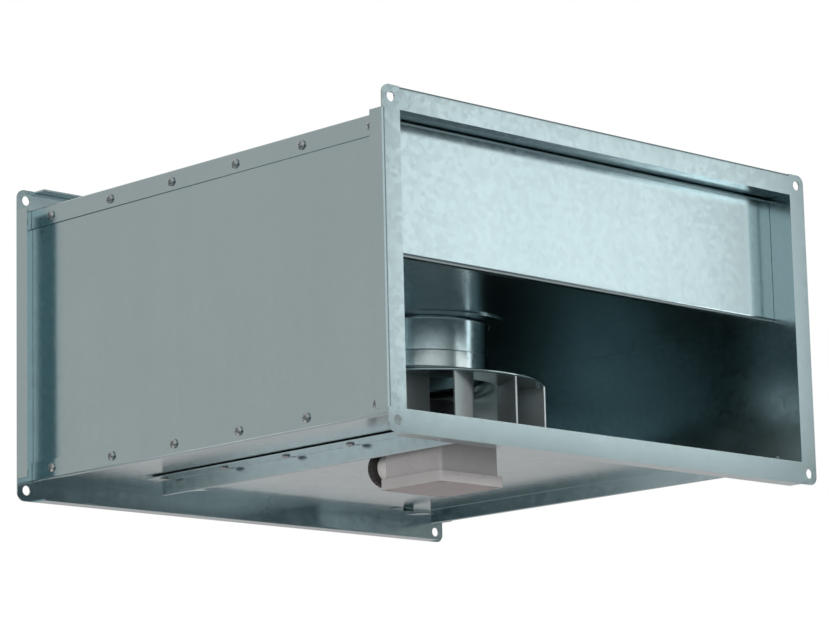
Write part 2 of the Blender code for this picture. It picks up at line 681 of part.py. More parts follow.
def terminal_box():
    low_x, high_x = BOX_CENTRE_X - BOX_HALF_X, BOX_CENTRE_X + BOX_HALF_X
    low_y, high_y = BOX_CENTRE_Y - BOX_HALF_Y, BOX_CENTRE_Y + BOX_HALF_Y
    body = bmesh.new()
    box(body, (low_x, low_y, BOX_RIM_Z), (high_x, high_y, BOX_TOP_Z))
    base = add_object("terminal_box", body, BOX_GREY)
    hollow = bmesh.new()
    wall = BOX_WALL
    box(
        hollow,
        (low_x + wall, low_y + wall, BOX_RIM_Z - CUT_REACH),
        (high_x - wall, high_y - wall, BOX_TOP_Z - wall),
    )
    apply_boolean(base, add_tool("box_hollow", hollow), "DIFFERENCE")
    holes = bmesh.new()
    through = 3 * wall
    cylinder(holes, (*LEAD_ENTRY, BOX_TOP_Z - wall / 2), (0, 0, 1), LEAD_HOLE_RADIUS, through, SMALL_ROUND)
    neck = GLAND_BODY_RADIUS - GLAND_NECK_STEP
    cylinder(holes, (GLAND_X, high_y - wall / 2, GLAND_Z), (0, 1, 0), neck + GAP, through, SMALL_ROUND)
    apply_boolean(base, add_tool("box_holes", holes), "DIFFERENCE")

    seal_top = BOX_RIM_Z - GAP
    seal_low = seal_top - GASKET_THICKNESS
    seal = bmesh.new()
    box(seal, (low_x, low_y, seal_low), (high_x, high_y, seal_top))
    gasket = add_object("box_gasket", seal, RUBBER)
    window = bmesh.new()
    box(
        window,
        (low_x + wall, low_y + wall, seal_low - CUT_REACH),
        (high_x - wall, high_y - wall, seal_top + CUT_REACH),
    )
    apply_boolean(gasket, add_tool("box_gasket_window", window), "DIFFERENCE")

    lid_top = seal_low - GAP
    lid_low = lid_top - LID_HEIGHT
    reach = LID_OVERHANG
    cap = bmesh.new()
    skirt_top = lid_top + LID_SKIRT
    box(cap, (low_x - reach, low_y - reach, lid_low), (high_x + reach, high_y + reach, skirt_top))
    lid = add_object("terminal_box_lid", cap, BOX_GREY)
    seat = bmesh.new()
    box(
        seat,
        (low_x - GAP, low_y - GAP, lid_top),
        (high_x + GAP, high_y + GAP, skirt_top + CUT_REACH),
    )
    apply_boolean(lid, add_tool("lid_seat", seat), "DIFFERENCE")
    pocket = bmesh.new()
    box(
        pocket,
        (low_x + wall, low_y + wall, lid_low + wall),
        (high_x - wall, high_y - wall, lid_top + CUT_REACH),
    )
    apply_boolean(lid, add_tool("lid_pocket", pocket), "DIFFERENCE")

    block = bmesh.new()
    ceiling = BOX_TOP_Z - wall - GAP
    box(block, (*BLOCK_LOW_CORNER, ceiling - BLOCK_HEIGHT), (*BLOCK_HIGH_CORNER, ceiling))
    add_object("terminal_block", block, BLOCK_WHITE)


def grommet():
    bore = LEAD_RADIUS + GAP
    neck = LEAD_HOLE_RADIUS - GAP
    lip = LEAD_HOLE_RADIUS + GROMMET_LIP
    seat = HATCH_TOP_Z + GAP
    top = seat + 2 * GAP
    low = BOX_TOP_Z - BOX_WALL - GAP
    shoulder = LEAD_HOLE_RADIUS + GROMMET_LIP / 2
    profile = [(shoulder, top), (lip, seat), (neck, seat), (neck, low), (bore, low), (bore, top)]
    bm = bmesh.new()
    turned_mesh(bm, profile, Matrix.Translation((*LEAD_ENTRY, 0)), SMALL_ROUND)
    add_object("lead_grommet", bm, RUBBER, smooth=True)


def gland():
    """Supply cable gland on the rear wall of the terminal box: body, dome nut and rubber seal."""
    wall_y = BOX_CENTRE_Y + BOX_HALF_Y
    bore = GLAND_BORE_RADIUS
    neck = GLAND_BODY_RADIUS - GLAND_NECK_STEP
    seat = facing((GLAND_X, wall_y, GLAND_Z), (0, 1, 0))
    body_end = GLAND_BODY_LENGTH
    body = [
        (GLAND_BODY_RADIUS - GLAND_CHAMFER, body_end),
        (GLAND_BODY_RADIUS, body_end - GLAND_CHAMFER),
        (GLAND_BODY_RADIUS, GAP),
        (neck, GAP),
        (neck, -GLAND_TAIL),
        (bore, -GLAND_TAIL),
        (bore, body_end),
    ]
    nut_start = body_end + GAP
    nut_end = nut_start + GLAND_NUT_LENGTH
    nut = [
        (GLAND_NUT_RADIUS * 0.62, nut_end),
        (GLAND_NUT_RADIUS * 0.90, nut_end - 0.2 * GLAND_NUT_LENGTH),
        (GLAND_NUT_RADIUS, nut_end - 0.6 * GLAND_NUT_LENGTH),
        (GLAND_NUT_RADIUS, nut_start),
        (bore, nut_start),
        (bore, nut_end),
    ]
    seal = [
        (bore - GAP, nut_end - 0.001),
        (bore - GAP, nut_start + 0.001),
        (bore / 2, nut_start + 0.001),
        (bore / 2, nut_end - 0.001),
    ]
    pieces = (
        ("cable_gland", body, BOX_GREY),
        ("gland_nut", nut, BLACK_PLASTIC),
        ("gland_seal", seal, RUBBER),
    )
    for name, profile, material in pieces:
        bm = bmesh.new()
        turned_mesh(bm, profile, seat, SMALL_ROUND)
        add_object(name, bm, material, smooth=True)


def earth_stud():
    """Bonding stud that stands on the lower leg of the outlet flange."""
    profile = [(0.0, STUD_HEIGHT), (0.6 * STUD_RADIUS, 0.8 * STUD_HEIGHT), (STUD_RADIUS, 0.0), (0.0, 0.0)]
    bm = bmesh.new()
    turned_mesh(bm, profile, Matrix.Translation((STUD_X, STUD_Y, -HALF_HEIGHT + GAP)), SCREW_SEGMENTS)
    add_object("earth_stud", bm, BRIGHT, smooth=True)


def hang_on(names, pivot):
    """Parents parts to an empty without moving them."""
    for name in names:
        part = bpy.data.objects[name]
        part.parent = pivot
        part.matrix_parent_inverse = pivot.matrix_world.inverted()


def pivots():
    """An empty on each joint's axis, with the parts that turn about it."""
    hatch_pivot = bpy.data.objects.new("hatch_pivot", None)
    hatch_pivot.matrix_world = Matrix.Translation(HINGE)
    wheel_pivot = bpy.data.objects.new("impeller_axis", None)
    wheel_pivot.matrix_world = Matrix.Translation((0, 0, SHROUD_Z))
    for pivot in (hatch_pivot, wheel_pivot):
        bpy.context.scene.collection.objects.link(pivot)
    wheel_pivot.parent = hatch_pivot
    wheel_pivot.matrix_parent_inverse = hatch_pivot.matrix_world.inverted()
    on_hatch = (
        "hatch_panel",
        "hatch_gasket",
        "motor_base",
        "stator_core",
        "winding_upper",
        "winding_lower",
        "bearing_upper",
        "bearing_lower",
        "motor_lead",
        "lead_grommet",
        "terminal_box",
        "box_gasket",
        "terminal_box_lid",
        "terminal_block",
        "cable_gland",
        "gland_nut",
        "gland_seal",
    )
    on_rotor = ("rotor_can", "rotor_cage", "motor_shaft", "impeller_wheel", "impeller_shroud", "balance_clip")
    hang_on(on_hatch, hatch_pivot)
    hang_on(on_rotor, wheel_pivot)


clear_scene()
PARTS = new_collection("inline_duct_fan")
TOOLS = new_collection("cutters")

ZINC = new_material("galvanised_sheet", (0.50, 0.56, 0.57), 0.30, 1.0)
BRIGHT = new_material("bright_zinc", (0.66, 0.70, 0.71), 0.22, 1.0)
SCREW_STEEL = new_material("screw_steel", (0.55, 0.58, 0.59), 0.35, 1.0)
BEARING_STEEL = new_material("bearing_steel", (0.60, 0.61, 0.62), 0.20, 1.0)
CAST_METAL = new_material("cast_aluminium", (0.45, 0.46, 0.47), 0.50, 1.0)
ROTOR_PAINT = new_material("black_rotor", (0.03, 0.03, 0.035), 0.45, 0.2)
COPPER = new_material("copper_winding", (0.50, 0.22, 0.10), 0.40, 1.0)
RUBBER = new_material("black_rubber", (0.02, 0.02, 0.02), 0.80, 0.0)
CABLE = new_material("cable_sheath", (0.03, 0.03, 0.03), 0.60, 0.0)
BLACK_PLASTIC = new_material("black_plastic", (0.035, 0.033, 0.032), 0.45, 0.0)
BOX_GREY = new_material("box_grey", (0.40, 0.38, 0.37), 0.50, 0.0)
BLOCK_WHITE = new_material("terminal_plastic", (0.75, 0.74, 0.70), 0.50, 0.0)

casing()
side_screws()
partition()
inlet_cone()
impeller()
motor()
hatch()
motor_lead()
terminal_box()
grommet()
gland()
earth_stud()
pivots()
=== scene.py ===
"""Looks of the inline duct fan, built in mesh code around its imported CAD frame.

The origin is the middle of the duct, X runs across it, +Y against the air and +Z up.
"""

import math

import bmesh
import bpy
from mathutils import Matrix, Quaternion, Vector


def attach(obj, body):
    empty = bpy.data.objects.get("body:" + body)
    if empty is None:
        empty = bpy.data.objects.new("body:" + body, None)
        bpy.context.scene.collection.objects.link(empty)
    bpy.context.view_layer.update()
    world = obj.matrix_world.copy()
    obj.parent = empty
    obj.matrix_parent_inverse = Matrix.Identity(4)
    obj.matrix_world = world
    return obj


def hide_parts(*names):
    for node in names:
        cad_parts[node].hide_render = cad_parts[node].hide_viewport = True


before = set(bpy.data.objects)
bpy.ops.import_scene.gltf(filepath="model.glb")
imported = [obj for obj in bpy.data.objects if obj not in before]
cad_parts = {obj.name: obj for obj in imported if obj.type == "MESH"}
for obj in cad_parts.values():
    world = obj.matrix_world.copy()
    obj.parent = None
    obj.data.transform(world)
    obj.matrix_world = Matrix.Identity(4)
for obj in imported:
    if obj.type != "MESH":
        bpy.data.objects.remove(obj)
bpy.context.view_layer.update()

# Camera
CAMERA_PLACE = Vector((-2.1467, -2.2010, -0.5779))
CAMERA_TARGET = Vector((-0.0029, -0.0041, 0.0240))
CAMERA_ROLL = math.radians(-1.371)
CAMERA_LENS = 147.7
SENSOR_WIDTH = 36.0

# Fits, softened edges and cutters
CLEARANCE = 0.0003
EDGE = 0.0002
FINE_EDGE = 0.0001
BOX_EDGE = 0.0003
LID_EDGE = 0.0005
SHARP_ANGLE = math.radians(32)
CUT_PROUD = 0.001
CUT_REACH = 0.01
MERGE_DISTANCE = 0.000001
FLUTED_SHARE = 0.85

# Sheet, duct and flanges
SHEET = 0.0010
HALF_WIDTH = 0.250
HALF_HEIGHT = 0.125
HALF_LENGTH = 0.245
FLANGE_SHEET = 0.0015
FLANGE_BAR = 0.020
FLANGE_CORNER = 0.008
FLANGE_BEND = 0.00125
FLANGE_LIP_DEPTH = 0.0156
FLANGE_SLEEVE_DEPTH = 0.012
FLANGE_HOLE_RADIUS = 0.0045
SHEETS_OVERLAP = 0.0006

# Casing covers, hatch opening and side screws
PANEL_END = 0.2432
LIP_CENTRE_X = 0.2531
LIP_OUTER_X = 0.2536
LIP_END_Z = 0.1090
COVER_CENTRE_Z = 0.1268
COVER_BEND = 0.0017
OPENING_HALF_WIDTH = 0.163
OPENING_FRONT = -0.213
OPENING_REAR = 0.142
OPENING_CORNER = 0.004
FLOOR_CUT = (-0.14, -0.12)
SCREW_Y = (-0.214, -0.1284, -0.0428, 0.0428, 0.1284, 0.214)
SCREW_Z = 0.117

# Turn from one screw's recess to the next, in radians
SIDE_SCREW_TURN = 1.7
HATCH_SCREW_TURN = 1.3
MOTOR_SCREW_TURN = 0.9
LID_SCREW_TURN = 1.0

# Partition and cone
PARTITION_Z = 0.0087
PARTITION_WALL_Y = 0.2185
PARTITION_HALF_WIDTH = 0.2510
PARTITION_EDGE_Z = 0.1255
PARTITION_FOOT = 0.012
PARTITION_BEND = 0.004
PARTITION_HOLE_RADIUS = 0.079
PARTITION_HOLE_TOP = 0.02
CONE_LEVEL = 0.0074
CONE_FLANGE_RADIUS = 0.0865
CONE_FLARE_RADIUS = 0.0035
CONE_NECK_RADIUS = 0.0668
CONE_END_RADIUS = 0.0660
CONE_END_Z = -0.0235

# Impeller
WHEEL_RADIUS = 0.119
SHROUD_Z = -0.051
COLLAR_RADIUS = 0.0667
COLLAR_TOP = -0.0242
SHROUD_FLARE = 0.013
RIM_RADIUS = 0.0015
BACKPLATE_Z = -0.112
BACKPLATE_SHEET = 0.0015
HUB_HOLE = 0.0533
BLADE_COUNT = 11
BLADE_FIRST_ANGLE = math.radians(-85.0)
BLADE_CHORD_ANGLE = math.radians(50.4)
BLADE_TURN = math.radians(32.0)
BLADE_LENGTH = 0.058
BLADE_SHEET = 0.0015
BLADE_STEPS = 20
BLADE_TIP_GAP = 0.0010
BLADE_SINK = 0.0005
CLIP_ANGLE = math.radians(-56)
CLIP_INNER_RADIUS = 0.1115
CLIP_OUTER_RADIUS = 0.1147
CLIP_TOP = -0.0522
CLIP_LOW = -0.0543
CLIP_HALF_WIDTH = 0.0016
CLIP_SHEET = 0.0006
CLIP_BEND = 0.0006

# Motor
ROTOR_RADIUS = 0.053
ROTOR_TOP = -0.066
ROTOR_BOTTOM = -0.118
ROTOR_WALL = 0.004
ROTOR_ROUNDING = 0.006
CAP_STEP = 0.0012
CAP_INNER_RADIUS = 0.0150
CAP_OUTER_RADIUS = 0.0165
POCKET_COUNT = 12
POCKET_CIRCLE = 0.036
POCKET_RADIUS = 0.0022
POCKET_DEPTH = 0.0018
ROTOR_FLANGE_RADIUS = 0.064
ROTOR_FLANGE_TOP = -0.1138
ROTOR_FLANGE_LOW = -0.1163
MOTOR_SCREW_COUNT = 4
MOTOR_SCREW_CIRCLE = 0.036

# Hatch and hooks
HATCH_Z = -0.1290
HATCH_HALF_WIDTH = 0.1915
HATCH_FRONT = -0.2265
HATCH_REAR = 0.157
RIB_OUTER_X = 0.1712
RIB_INNER_X = 0.1696
RIB_LOW_Z = -0.1425
RIB_BEND = 0.00079
HATCH_SCREW_X = 0.1815
HATCH_SCREW_Y = (-0.186, -0.104, -0.022, 0.060, 0.142)
SLOT_X = 0.1730
SLOT_LENGTH = 0.0075
SLOT_WIDTH = 0.0020
SLOT_CORNER = 0.00098
HOOK_X = 0.143
HOOK_WIDTH = 0.013
HOOK_BEND = 0.0016
HOOK_FOOT = ((0.180, -0.1281), (0.1620, -0.1281))
HOOK_TONGUE = ((0.1600, -0.1354), (0.1330, -0.1373))

# Terminal box and gland
BOX_CENTRE = Vector((-0.124, -0.156))
BOX_HALF_X = 0.0345
BOX_HALF_Y = 0.0340
BOX_TOP_Z = -0.1298
BOX_RIM_Z = -0.162
BOX_WALL = 0.002
BOX_CORNER = 0.003
LID_TOP_Z = -0.1632
LID_LOW_Z = -0.170
LID_OVERHANG = 0.003
LID_SKIRT = 0.0027
LID_CORNER = 0.0028
LID_SCREW_INSET = 0.0062
LID_SEAT_RADIUS = 0.0034
LID_SEAT_DEPTH = 0.0012
GRIP_X = 0.016
GRIP_HALF_WIDTH = 0.003
GRIP_HEIGHT = 0.0030
GRIP_DEPTH = 0.0006
KNOCK_OUT_RADIUS = 0.0105
KNOCK_OUT_SMALL_RADIUS = 0.0085
KNOCK_OUT_GROOVE = 0.0003
KNOCK_OUT_DEPTH = 0.0002
KNOCK_OUT_LEFT_X = -0.014
KNOCK_OUT_RIGHT_X = 0.015
KNOCK_OUT_SIDE_Y = -0.004
LEAD_ENTRY = (-0.1125, -0.1415)
LEAD_HOLE_RADIUS = 0.006
GLAND_X = -0.1435
GLAND_Z = -0.1485
GLAND_RADIUS = 0.0115
GLAND_NECK = 0.0097
GLAND_BORE = 0.0065
GLAND_BODY_END = 0.0135
GLAND_TAIL = 0.006
GLAND_ROUNDING = 0.0012
GROOVE_START = 0.0026
GROOVE_END = 0.0042
GROOVE_SLOPE = 0.0004
GROOVE_DEPTH = 0.0006
NUT_START = 0.0138
NUT_END = 0.0243
NUT_RADIUS = 0.0165
NUT_DOME_CENTRE = 0.00924
NUT_DOME_RADIUS = 0.0062
NUT_SHOULDER = 0.0058
NUT_CHAMFER = 0.0008
NUT_CHAMFER_HEIGHT = 0.0006
NUT_FLUTES = 24
NUT_FLUTE_DEPTH = 0.0006

# Earth stud
STUD_PLACE = (0.213, -0.2395, -0.1247)
STUD_RADIUS = 0.0027
STUD_DOME_RADIUS = 0.0030
STUD_DOME_DROP = 0.0012

# Steps in a full turn
ROUND = 96
SMALL_ROUND = 32
POCKET_ROUND = 20
GLAND_ROUND = 64
NUT_ROUND = 144

# Directions
RIGHT_FRONT = (0.70, -0.71, 0.0)
RIGHT_REAR = (0.71, 0.70, 0.0)
LEFT_FRONT = (-0.71, -0.70, 0.0)
REARWARDS = (0.0, 1.0, 0.0)
UPWARDS = (0.0, 0.0, 1.0)
DOWNWARDS = (0.0, 0.0, -1.0)

# Studio
FLOOR_Z = -1.2
FLOOR_HALF_SIZE = 40.0
FLOOR_GLOW = (1.0, 0.98, 0.975)
FLOOR_GLOW_STRENGTH = 0.30
BACKDROP = (1.0, 1.0, 1.0)
DIM_LEFT = (0.555, 0.540, 0.525)
PALE_FRONT = (0.82, 0.86, 0.865)
DIM_RIGHT = (0.20, 0.22, 0.22)
DARK_LEFT = (0.12, 0.15, 0.155)
DARK_RIGHT = (0.10, 0.125, 0.135)
ROSY_FLOOR = (0.53, 0.505, 0.50)
ROSY_BELOW = (0.55, 0.51, 0.505)
FRONT_PANEL_PLACE = (0.69, -0.90, 0.215)
FRONT_PANEL_TARGET = (0.69, 0.0, 0.215)
FRONT_PANEL_SIZE = (0.71, 0.40)
COOL_LIGHT = (0.98, 1.0, 1.0)
ROSY_LIGHT = (1.0, 0.90, 0.89)
KEY_LIGHT = (1.0, 0.985, 0.975)
FILL_LIGHT = (1.0, 0.99, 0.985)


# ---------------------------------------------------------------- mesh helpers


def arc(centre, radius, start, end, steps):
    """Points of an arc in a plane, with its angles in degrees."""
    angles = [math.radians(start + (end - start) * k / steps) for k in range(steps + 1)]
    return [(centre[0] + radius * math.cos(a), centre[1] + radius * math.sin(a)) for a in angles]


def round_corner(before, corner, after, radius, steps):
    """The arc that replaces one corner of a line."""
    back = (Vector(before) - Vector(corner)).normalized()
    ahead = (Vector(after) - Vector(corner)).normalized()
    half = back.angle(ahead) / 2
    start = Vector(corner) + back * radius / math.tan(half)
    middle = Vector(corner) + (back + ahead).normalized() * radius / math.sin(half)
    turn = (math.pi - 2 * half) * (1 if back.x * ahead.y - back.y * ahead.x < 0 else -1)
    spun = (Matrix.Rotation(turn * k / steps, 2) @ (start - middle) for k in range(steps + 1))
    return [tuple(middle + point) for point in spun]


def rounded_line(points, radius, steps=8):
    """An open line with its inner corners rounded."""
    result = [points[0]]
    for before, corner, after in zip(points, points[1:], points[2:]):
        result += round_corner(before, corner, after, radius, steps)
    return result + [points[-1]]


def rectangle(half_x, half_y, radius=0.0, steps=8, centre=(0.0, 0.0)):
    """Counter-clockwise outline of a rectangle, with rounded corners if it has a radius."""
    corners = [(half_x, half_y), (-half_x, half_y), (-half_x, -half_y), (half_x, -half_y)]
    if radius:
        looped = [corners[-1], *corners, corners[0]]
        arcs = (round_corner(*looped[k : k + 3], radius, steps) for k in range(4))
        corners = [point for piece in arcs for point in piece]
    return [(x + centre[0], y + centre[1]) for x, y in corners]


def thick_line(line, thickness):
    """Closed outline of a sheet of this thickness, with the line down its middle."""
    points = [Vector(p) for p in line]
    left, right = [], []
    for k, point in enumerate(points):
        before = (point - points[k - 1]).normalized() if k else None
        after = (points[k + 1] - point).normalized() if k < len(points) - 1 else None
        along = ((before or after) + (after or before)).normalized()
        normal = Vector((-along.y, along.x))
        lean = normal.dot(Vector((-(after or before).y, (after or before).x)))
        left.append(tuple(point + normal * thickness / 2 / lean))
        right.append(tuple(point - normal * thickness / 2 / lean))
    return right + left[::-1]


def prism(outline, low, high):
    """A flat outline in XY raised from z low to z high."""
    bm = bmesh.new()
    face = bm.faces.new([bm.verts.new((x, y, low)) for x, y in outline])
    grown = bmesh.ops.extrude_face_region(bm, geom=[face])
    moved = [item for item in grown["geom"] if isinstance(item, bmesh.types.BMVert)]
    bmesh.ops.translate(bm, verts=moved, vec=(0, 0, high - low))
    bmesh.ops.recalc_face_normals(bm, faces=bm.faces)
    return bm


def placed(bm, matrix):
    """Moves a mesh, and turns its faces round if the matrix mirrors it."""
    bmesh.ops.transform(bm, matrix=matrix, verts=bm.verts)
    if matrix.determinant() < 0:
        bmesh.ops.reverse_faces(bm, faces=bm.faces)
    return bm


ALONG_X = Matrix(((0, 0, 1, 0), (1, 0, 0, 0), (0, 1, 0, 0), (0, 0, 0, 1)))
ALONG_Y = Matrix(((1, 0, 0, 0), (0, 0, 1, 0), (0, 1, 0, 0), (0, 0, 0, 1)))


def bent_sheet(line, thickness, axis, low, high):
    """A sheet that follows a line in the plane across an axis."""
    return placed(prism(thick_line(line, thickness), low, high), axis)


def box(low, high):
    """A block between two opposite corners."""
    centre = (Vector(low) + Vector(high)) / 2
    size = Vector(high) - Vector(low)
    bm = bmesh.new()
    matrix = Matrix.Translation(centre) @ Matrix.Diagonal((*size, 1.0))
    bmesh.ops.create_cube(bm, size=1.0, matrix=matrix)
    return bm


def turned(profile, steps=ROUND, matrix=None, flutes=0, flute_depth=0.0):
    """An outline of (radius, height) turned about Z, with flutes round its widest part if asked."""
    bm = bmesh.new()
    verts = [bm.verts.new((radius, 0, height)) for radius, height in profile]
    closed = profile[0][0] > 0 or profile[-1][0] > 0
    ends = verts[1:] + verts[:1] if closed else verts[1:]
    edges = [bm.edges.new(pair) for pair in zip(verts, ends)]
    bmesh.ops.spin(
        bm, geom=verts + edges, cent=(0, 0, 0), axis=(0, 0, 1), angle=2 * math.pi, steps=steps
    )
    bmesh.ops.remove_doubles(bm, verts=bm.verts, dist=MERGE_DISTANCE)
    bmesh.ops.recalc_face_normals(bm, faces=bm.faces)
    widest = max(radius for radius, _ in profile)
    for vert in bm.verts if flutes else ():
        if math.hypot(vert.co.x, vert.co.y) > FLUTED_SHARE * widest:
            wave = 0.5 - 0.5 * math.cos(flutes * math.atan2(vert.co.y, vert.co.x))
            vert.co.xy *= 1 - flute_depth * wave / widest
    return placed(bm, matrix) if matrix else bm


def plug(radius, low, high, matrix=None, steps=SMALL_ROUND):
    """A round plug along Z, to cut a hole with."""
    return turned([(0, high), (radius, high), (radius, low), (0, low)], steps, matrix)


def gathered(parts):
    """Several bodies in one mesh, each still closed."""
    whole = bmesh.new()
    for part in parts:
        mesh = bpy.data.meshes.new("part")
        part.to_mesh(mesh)
        part.free()
        whole.from_mesh(mesh)
        bpy.data.meshes.remove(mesh)
    return whole


def temporary(bm):
    """An object that holds a mesh while it is cut or joined."""
    mesh = bpy.data.meshes.new("temporary")
    bm.to_mesh(mesh)
    bm.free()
    helper = bpy.data.objects.new("temporary", mesh)
    bpy.context.scene.collection.objects.link(helper)
    return helper


def boolean(base, tool, operation="DIFFERENCE"):
    """One mesh cut by, or joined to, another."""
    first, second = temporary(base), temporary(tool)
    modifier = first.modifiers.new("boolean", "BOOLEAN")
    modifier.operation = operation
    modifier.solver = "EXACT"
    modifier.object = second
    result = bmesh.new()
    evaluated = first.evaluated_get(bpy.context.evaluated_depsgraph_get())
    result.from_mesh(evaluated.to_mesh())
    evaluated.to_mesh_clear()
    for helper in (first, second):
        bpy.data.objects.remove(helper)
    return result


def facing(position, direction):
    """Stands a piece turned about Z at a position, with +Z along a direction."""
    turn = Vector((0, 0, 1)).rotation_difference(Vector(direction)).to_matrix().to_4x4()
    return Matrix.Translation(position) @ turn


def add_piece(name, bm, look, body, nodes=(), edge=EDGE):
    """A visible piece with softened edges, which rides on a body and stands for CAD nodes."""
    mesh = bpy.data.meshes.new(name)
    bm.to_mesh(mesh)
    bm.free()
    piece = bpy.data.objects.new(name, mesh)
    bpy.context.scene.collection.objects.link(piece)
    mesh.shade_smooth()
    if edge:
        bevel = piece.modifiers.new("edge", "BEVEL")
        bevel.width = edge
        bevel.segments = 2
        bevel.limit_method = "ANGLE"
        bevel.angle_limit = SHARP_ANGLE
    weighted = piece.modifiers.new("normals", "WEIGHTED_NORMAL")
    weighted.weight = 100
    weighted.keep_sharp = True
    graph = bpy.context.evaluated_depsgraph_get()
    final = bpy.data.meshes.new_from_object(piece.evaluated_get(graph), depsgraph=graph)
    piece.modifiers.clear()
    piece.data = final
    final.name = name
    bpy.data.meshes.remove(mesh)
    final.materials.append(look)
    return settle(piece, body, nodes)


def settle(piece, body, nodes=()):
    """Says which body a piece rides on and which CAD nodes it stands for."""
    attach(piece, body)
    if nodes:
        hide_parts(*nodes)
    return piece


def copy_of(piece, name, matrix, body, nodes=()):
    """The same mesh once more, at another place."""
    twin = bpy.data.objects.new(name, piece.data)
    bpy.context.scene.collection.objects.link(twin)
    twin.matrix_world = matrix
    return settle(twin, body, nodes)


# ------------------------------------------------------------------- materials


class Look:
    """A material under construction, with its nodes and the object's own coordinates in metres."""

    def __init__(self, slot):
        self.material = bpy.data.materials.new(slot + "_look")
        self.material.use_nodes = True
        self.material["slot"] = slot
        self.nodes = self.material.node_tree.nodes
        self.links = self.material.node_tree.links
        self.shader = self.nodes["Principled BSDF"]
        self.coordinates = self.nodes.new("ShaderNodeTexCoord").outputs["Object"]

    def stretched(self, scale):
        mapping = self.nodes.new("ShaderNodeMapping")
        mapping.inputs["Scale"].default_value = scale
        self.links.new(self.coordinates, mapping.inputs["Vector"])
        return mapping.outputs["Vector"]

    def noise(self, scale, detail=3.0, roughness=0.5, stretch=None):
        node = self.nodes.new("ShaderNodeTexNoise")
        node.inputs["Scale"].default_value = scale
        node.inputs["Detail"].default_value = detail
        node.inputs["Roughness"].default_value = roughness
        self.links.new(self.stretched(stretch) if stretch else self.coordinates, node.inputs["Vector"])
        return node.outputs["Fac"]

    def cells(self, scale):
        """A different even value in each cell."""
        node = self.nodes.new("ShaderNodeTexVoronoi")
        node.inputs["Scale"].default_value = scale
        self.links.new(self.coordinates, node.inputs["Vector"])
        spread = self.nodes.new("ShaderNodeSeparateColor")
        self.links.new(node.outputs["Color"], spread.inputs["Color"])
        return spread.outputs["Red"]

    def waves(self, scale, direction, distortion=0.0):
        node = self.nodes.new("ShaderNodeTexWave")
        node.bands_direction = direction
        node.inputs["Scale"].default_value = scale
        node.inputs["Distortion"].default_value = distortion
        self.links.new(self.coordinates, node.inputs["Vector"])
        return node.outputs["Fac"]

    def spread(self, value, low, high, source=(0.3, 0.7)):
        """Maps a pattern's usual range onto low to high."""
        node = self.nodes.new("ShaderNodeMapRange")
        node.inputs["From Min"].default_value, node.inputs["From Max"].default_value = source
        node.inputs["To Min"].default_value = low
        node.inputs["To Max"].default_value = high
        self.links.new(value, node.inputs["Value"])
        return node.outputs["Result"]

    def combined(self, first, second, operation="ADD"):
        node = self.nodes.new("ShaderNodeMath")
        node.operation = operation
        self.links.new(first, node.inputs[0])
        self.links.new(second, node.inputs[1])
        return node.outputs["Value"]

    def colour(self, value, dark, light, source=(0.3, 0.7)):
        node = self.nodes.new("ShaderNodeValToRGB")
        node.color_ramp.elements[0].position, node.color_ramp.elements[1].position = source
        node.color_ramp.elements[0].color = (*dark, 1.0)
        node.color_ramp.elements[1].color = (*light, 1.0)
        self.links.new(value, node.inputs["Fac"])
        self.links.new(node.outputs["Color"], self.shader.inputs["Base Color"])

    def roughness(self, value):
        self.links.new(value, self.shader.inputs["Roughness"])

    def bump(self, *layers):
        """Layers of (height pattern, height in metres)."""
        normal = None
        for height, distance in layers:
            node = self.nodes.new("ShaderNodeBump")
            node.inputs["Distance"].default_value = distance
            self.links.new(height, node.inputs["Height"])
            if normal is not None:
                self.links.new(normal, node.inputs["Normal"])
            normal = node.outputs["Normal"]
        self.links.new(normal, self.shader.inputs["Normal"])

    def metallic(self, value=1.0):
        self.shader.inputs["Metallic"].default_value = value


def zinc_look(slot, dark, light, rough_low, rough_high, wave_height, metallic=1.0):
    """Rolled zinc sheet: faint streaks, small spangle and a soft waviness."""
    look = Look(slot)
    look.metallic(metallic)
    streaks = look.noise(1.0, detail=3.0, roughness=0.55, stretch=(26.0, 26.0, 1.6))
    clouds = look.noise(9.0, detail=4.0, roughness=0.6)
    look.colour(look.combined(streaks, clouds, "MULTIPLY"), dark, light, source=(0.10, 0.42))
    spangle = look.cells(190.0)
    grain = look.noise(1400.0, detail=2.0, roughness=0.6)
    base = look.spread(spangle, rough_low, rough_high, source=(0.0, 1.0))
    look.roughness(look.combined(base, look.spread(grain, -0.02, 0.02)))
    look.bump((look.noise(7.0, detail=2.0, roughness=0.5), wave_height), (grain, 0.000004))
    return look.material


def screw_look(slot, dark, light):
    """Plated steel with turning marks and a duller film in places."""
    look = Look(slot)
    look.metallic()
    look.colour(look.noise(260.0, detail=4.0), dark, light)
    look.roughness(look.spread(look.noise(900.0, detail=3.0), 0.20, 0.42))
    look.bump((look.noise(2200.0, detail=2.0), 0.000006))
    return look.material


def moulded_look(slot, dark, light, roughness, texture_scale, texture_height):
    """Moulded plastic with a fine spark-eroded texture and faint flow marks."""
    look = Look(slot)
    look.colour(look.noise(38.0, detail=4.0, roughness=0.6), dark, light)
    look.roughness(look.spread(look.noise(700.0, detail=2.0), roughness - 0.06, roughness + 0.06))
    look.shader.inputs["Specular IOR Level"].default_value = 0.3
    look.bump((look.noise(texture_scale, 3.0, 0.6), texture_height))
    return look.material


def rubber_look(slot, dark, light):
    """Dull rubber with a fine grain."""
    look = Look(slot)
    look.colour(look.noise(120.0, detail=4.0), dark, light)
    look.roughness(look.spread(look.noise(500.0, detail=3.0), 0.62, 0.85))
    look.bump((look.noise(1500.0, detail=2.0), 0.00003))
    return look.material


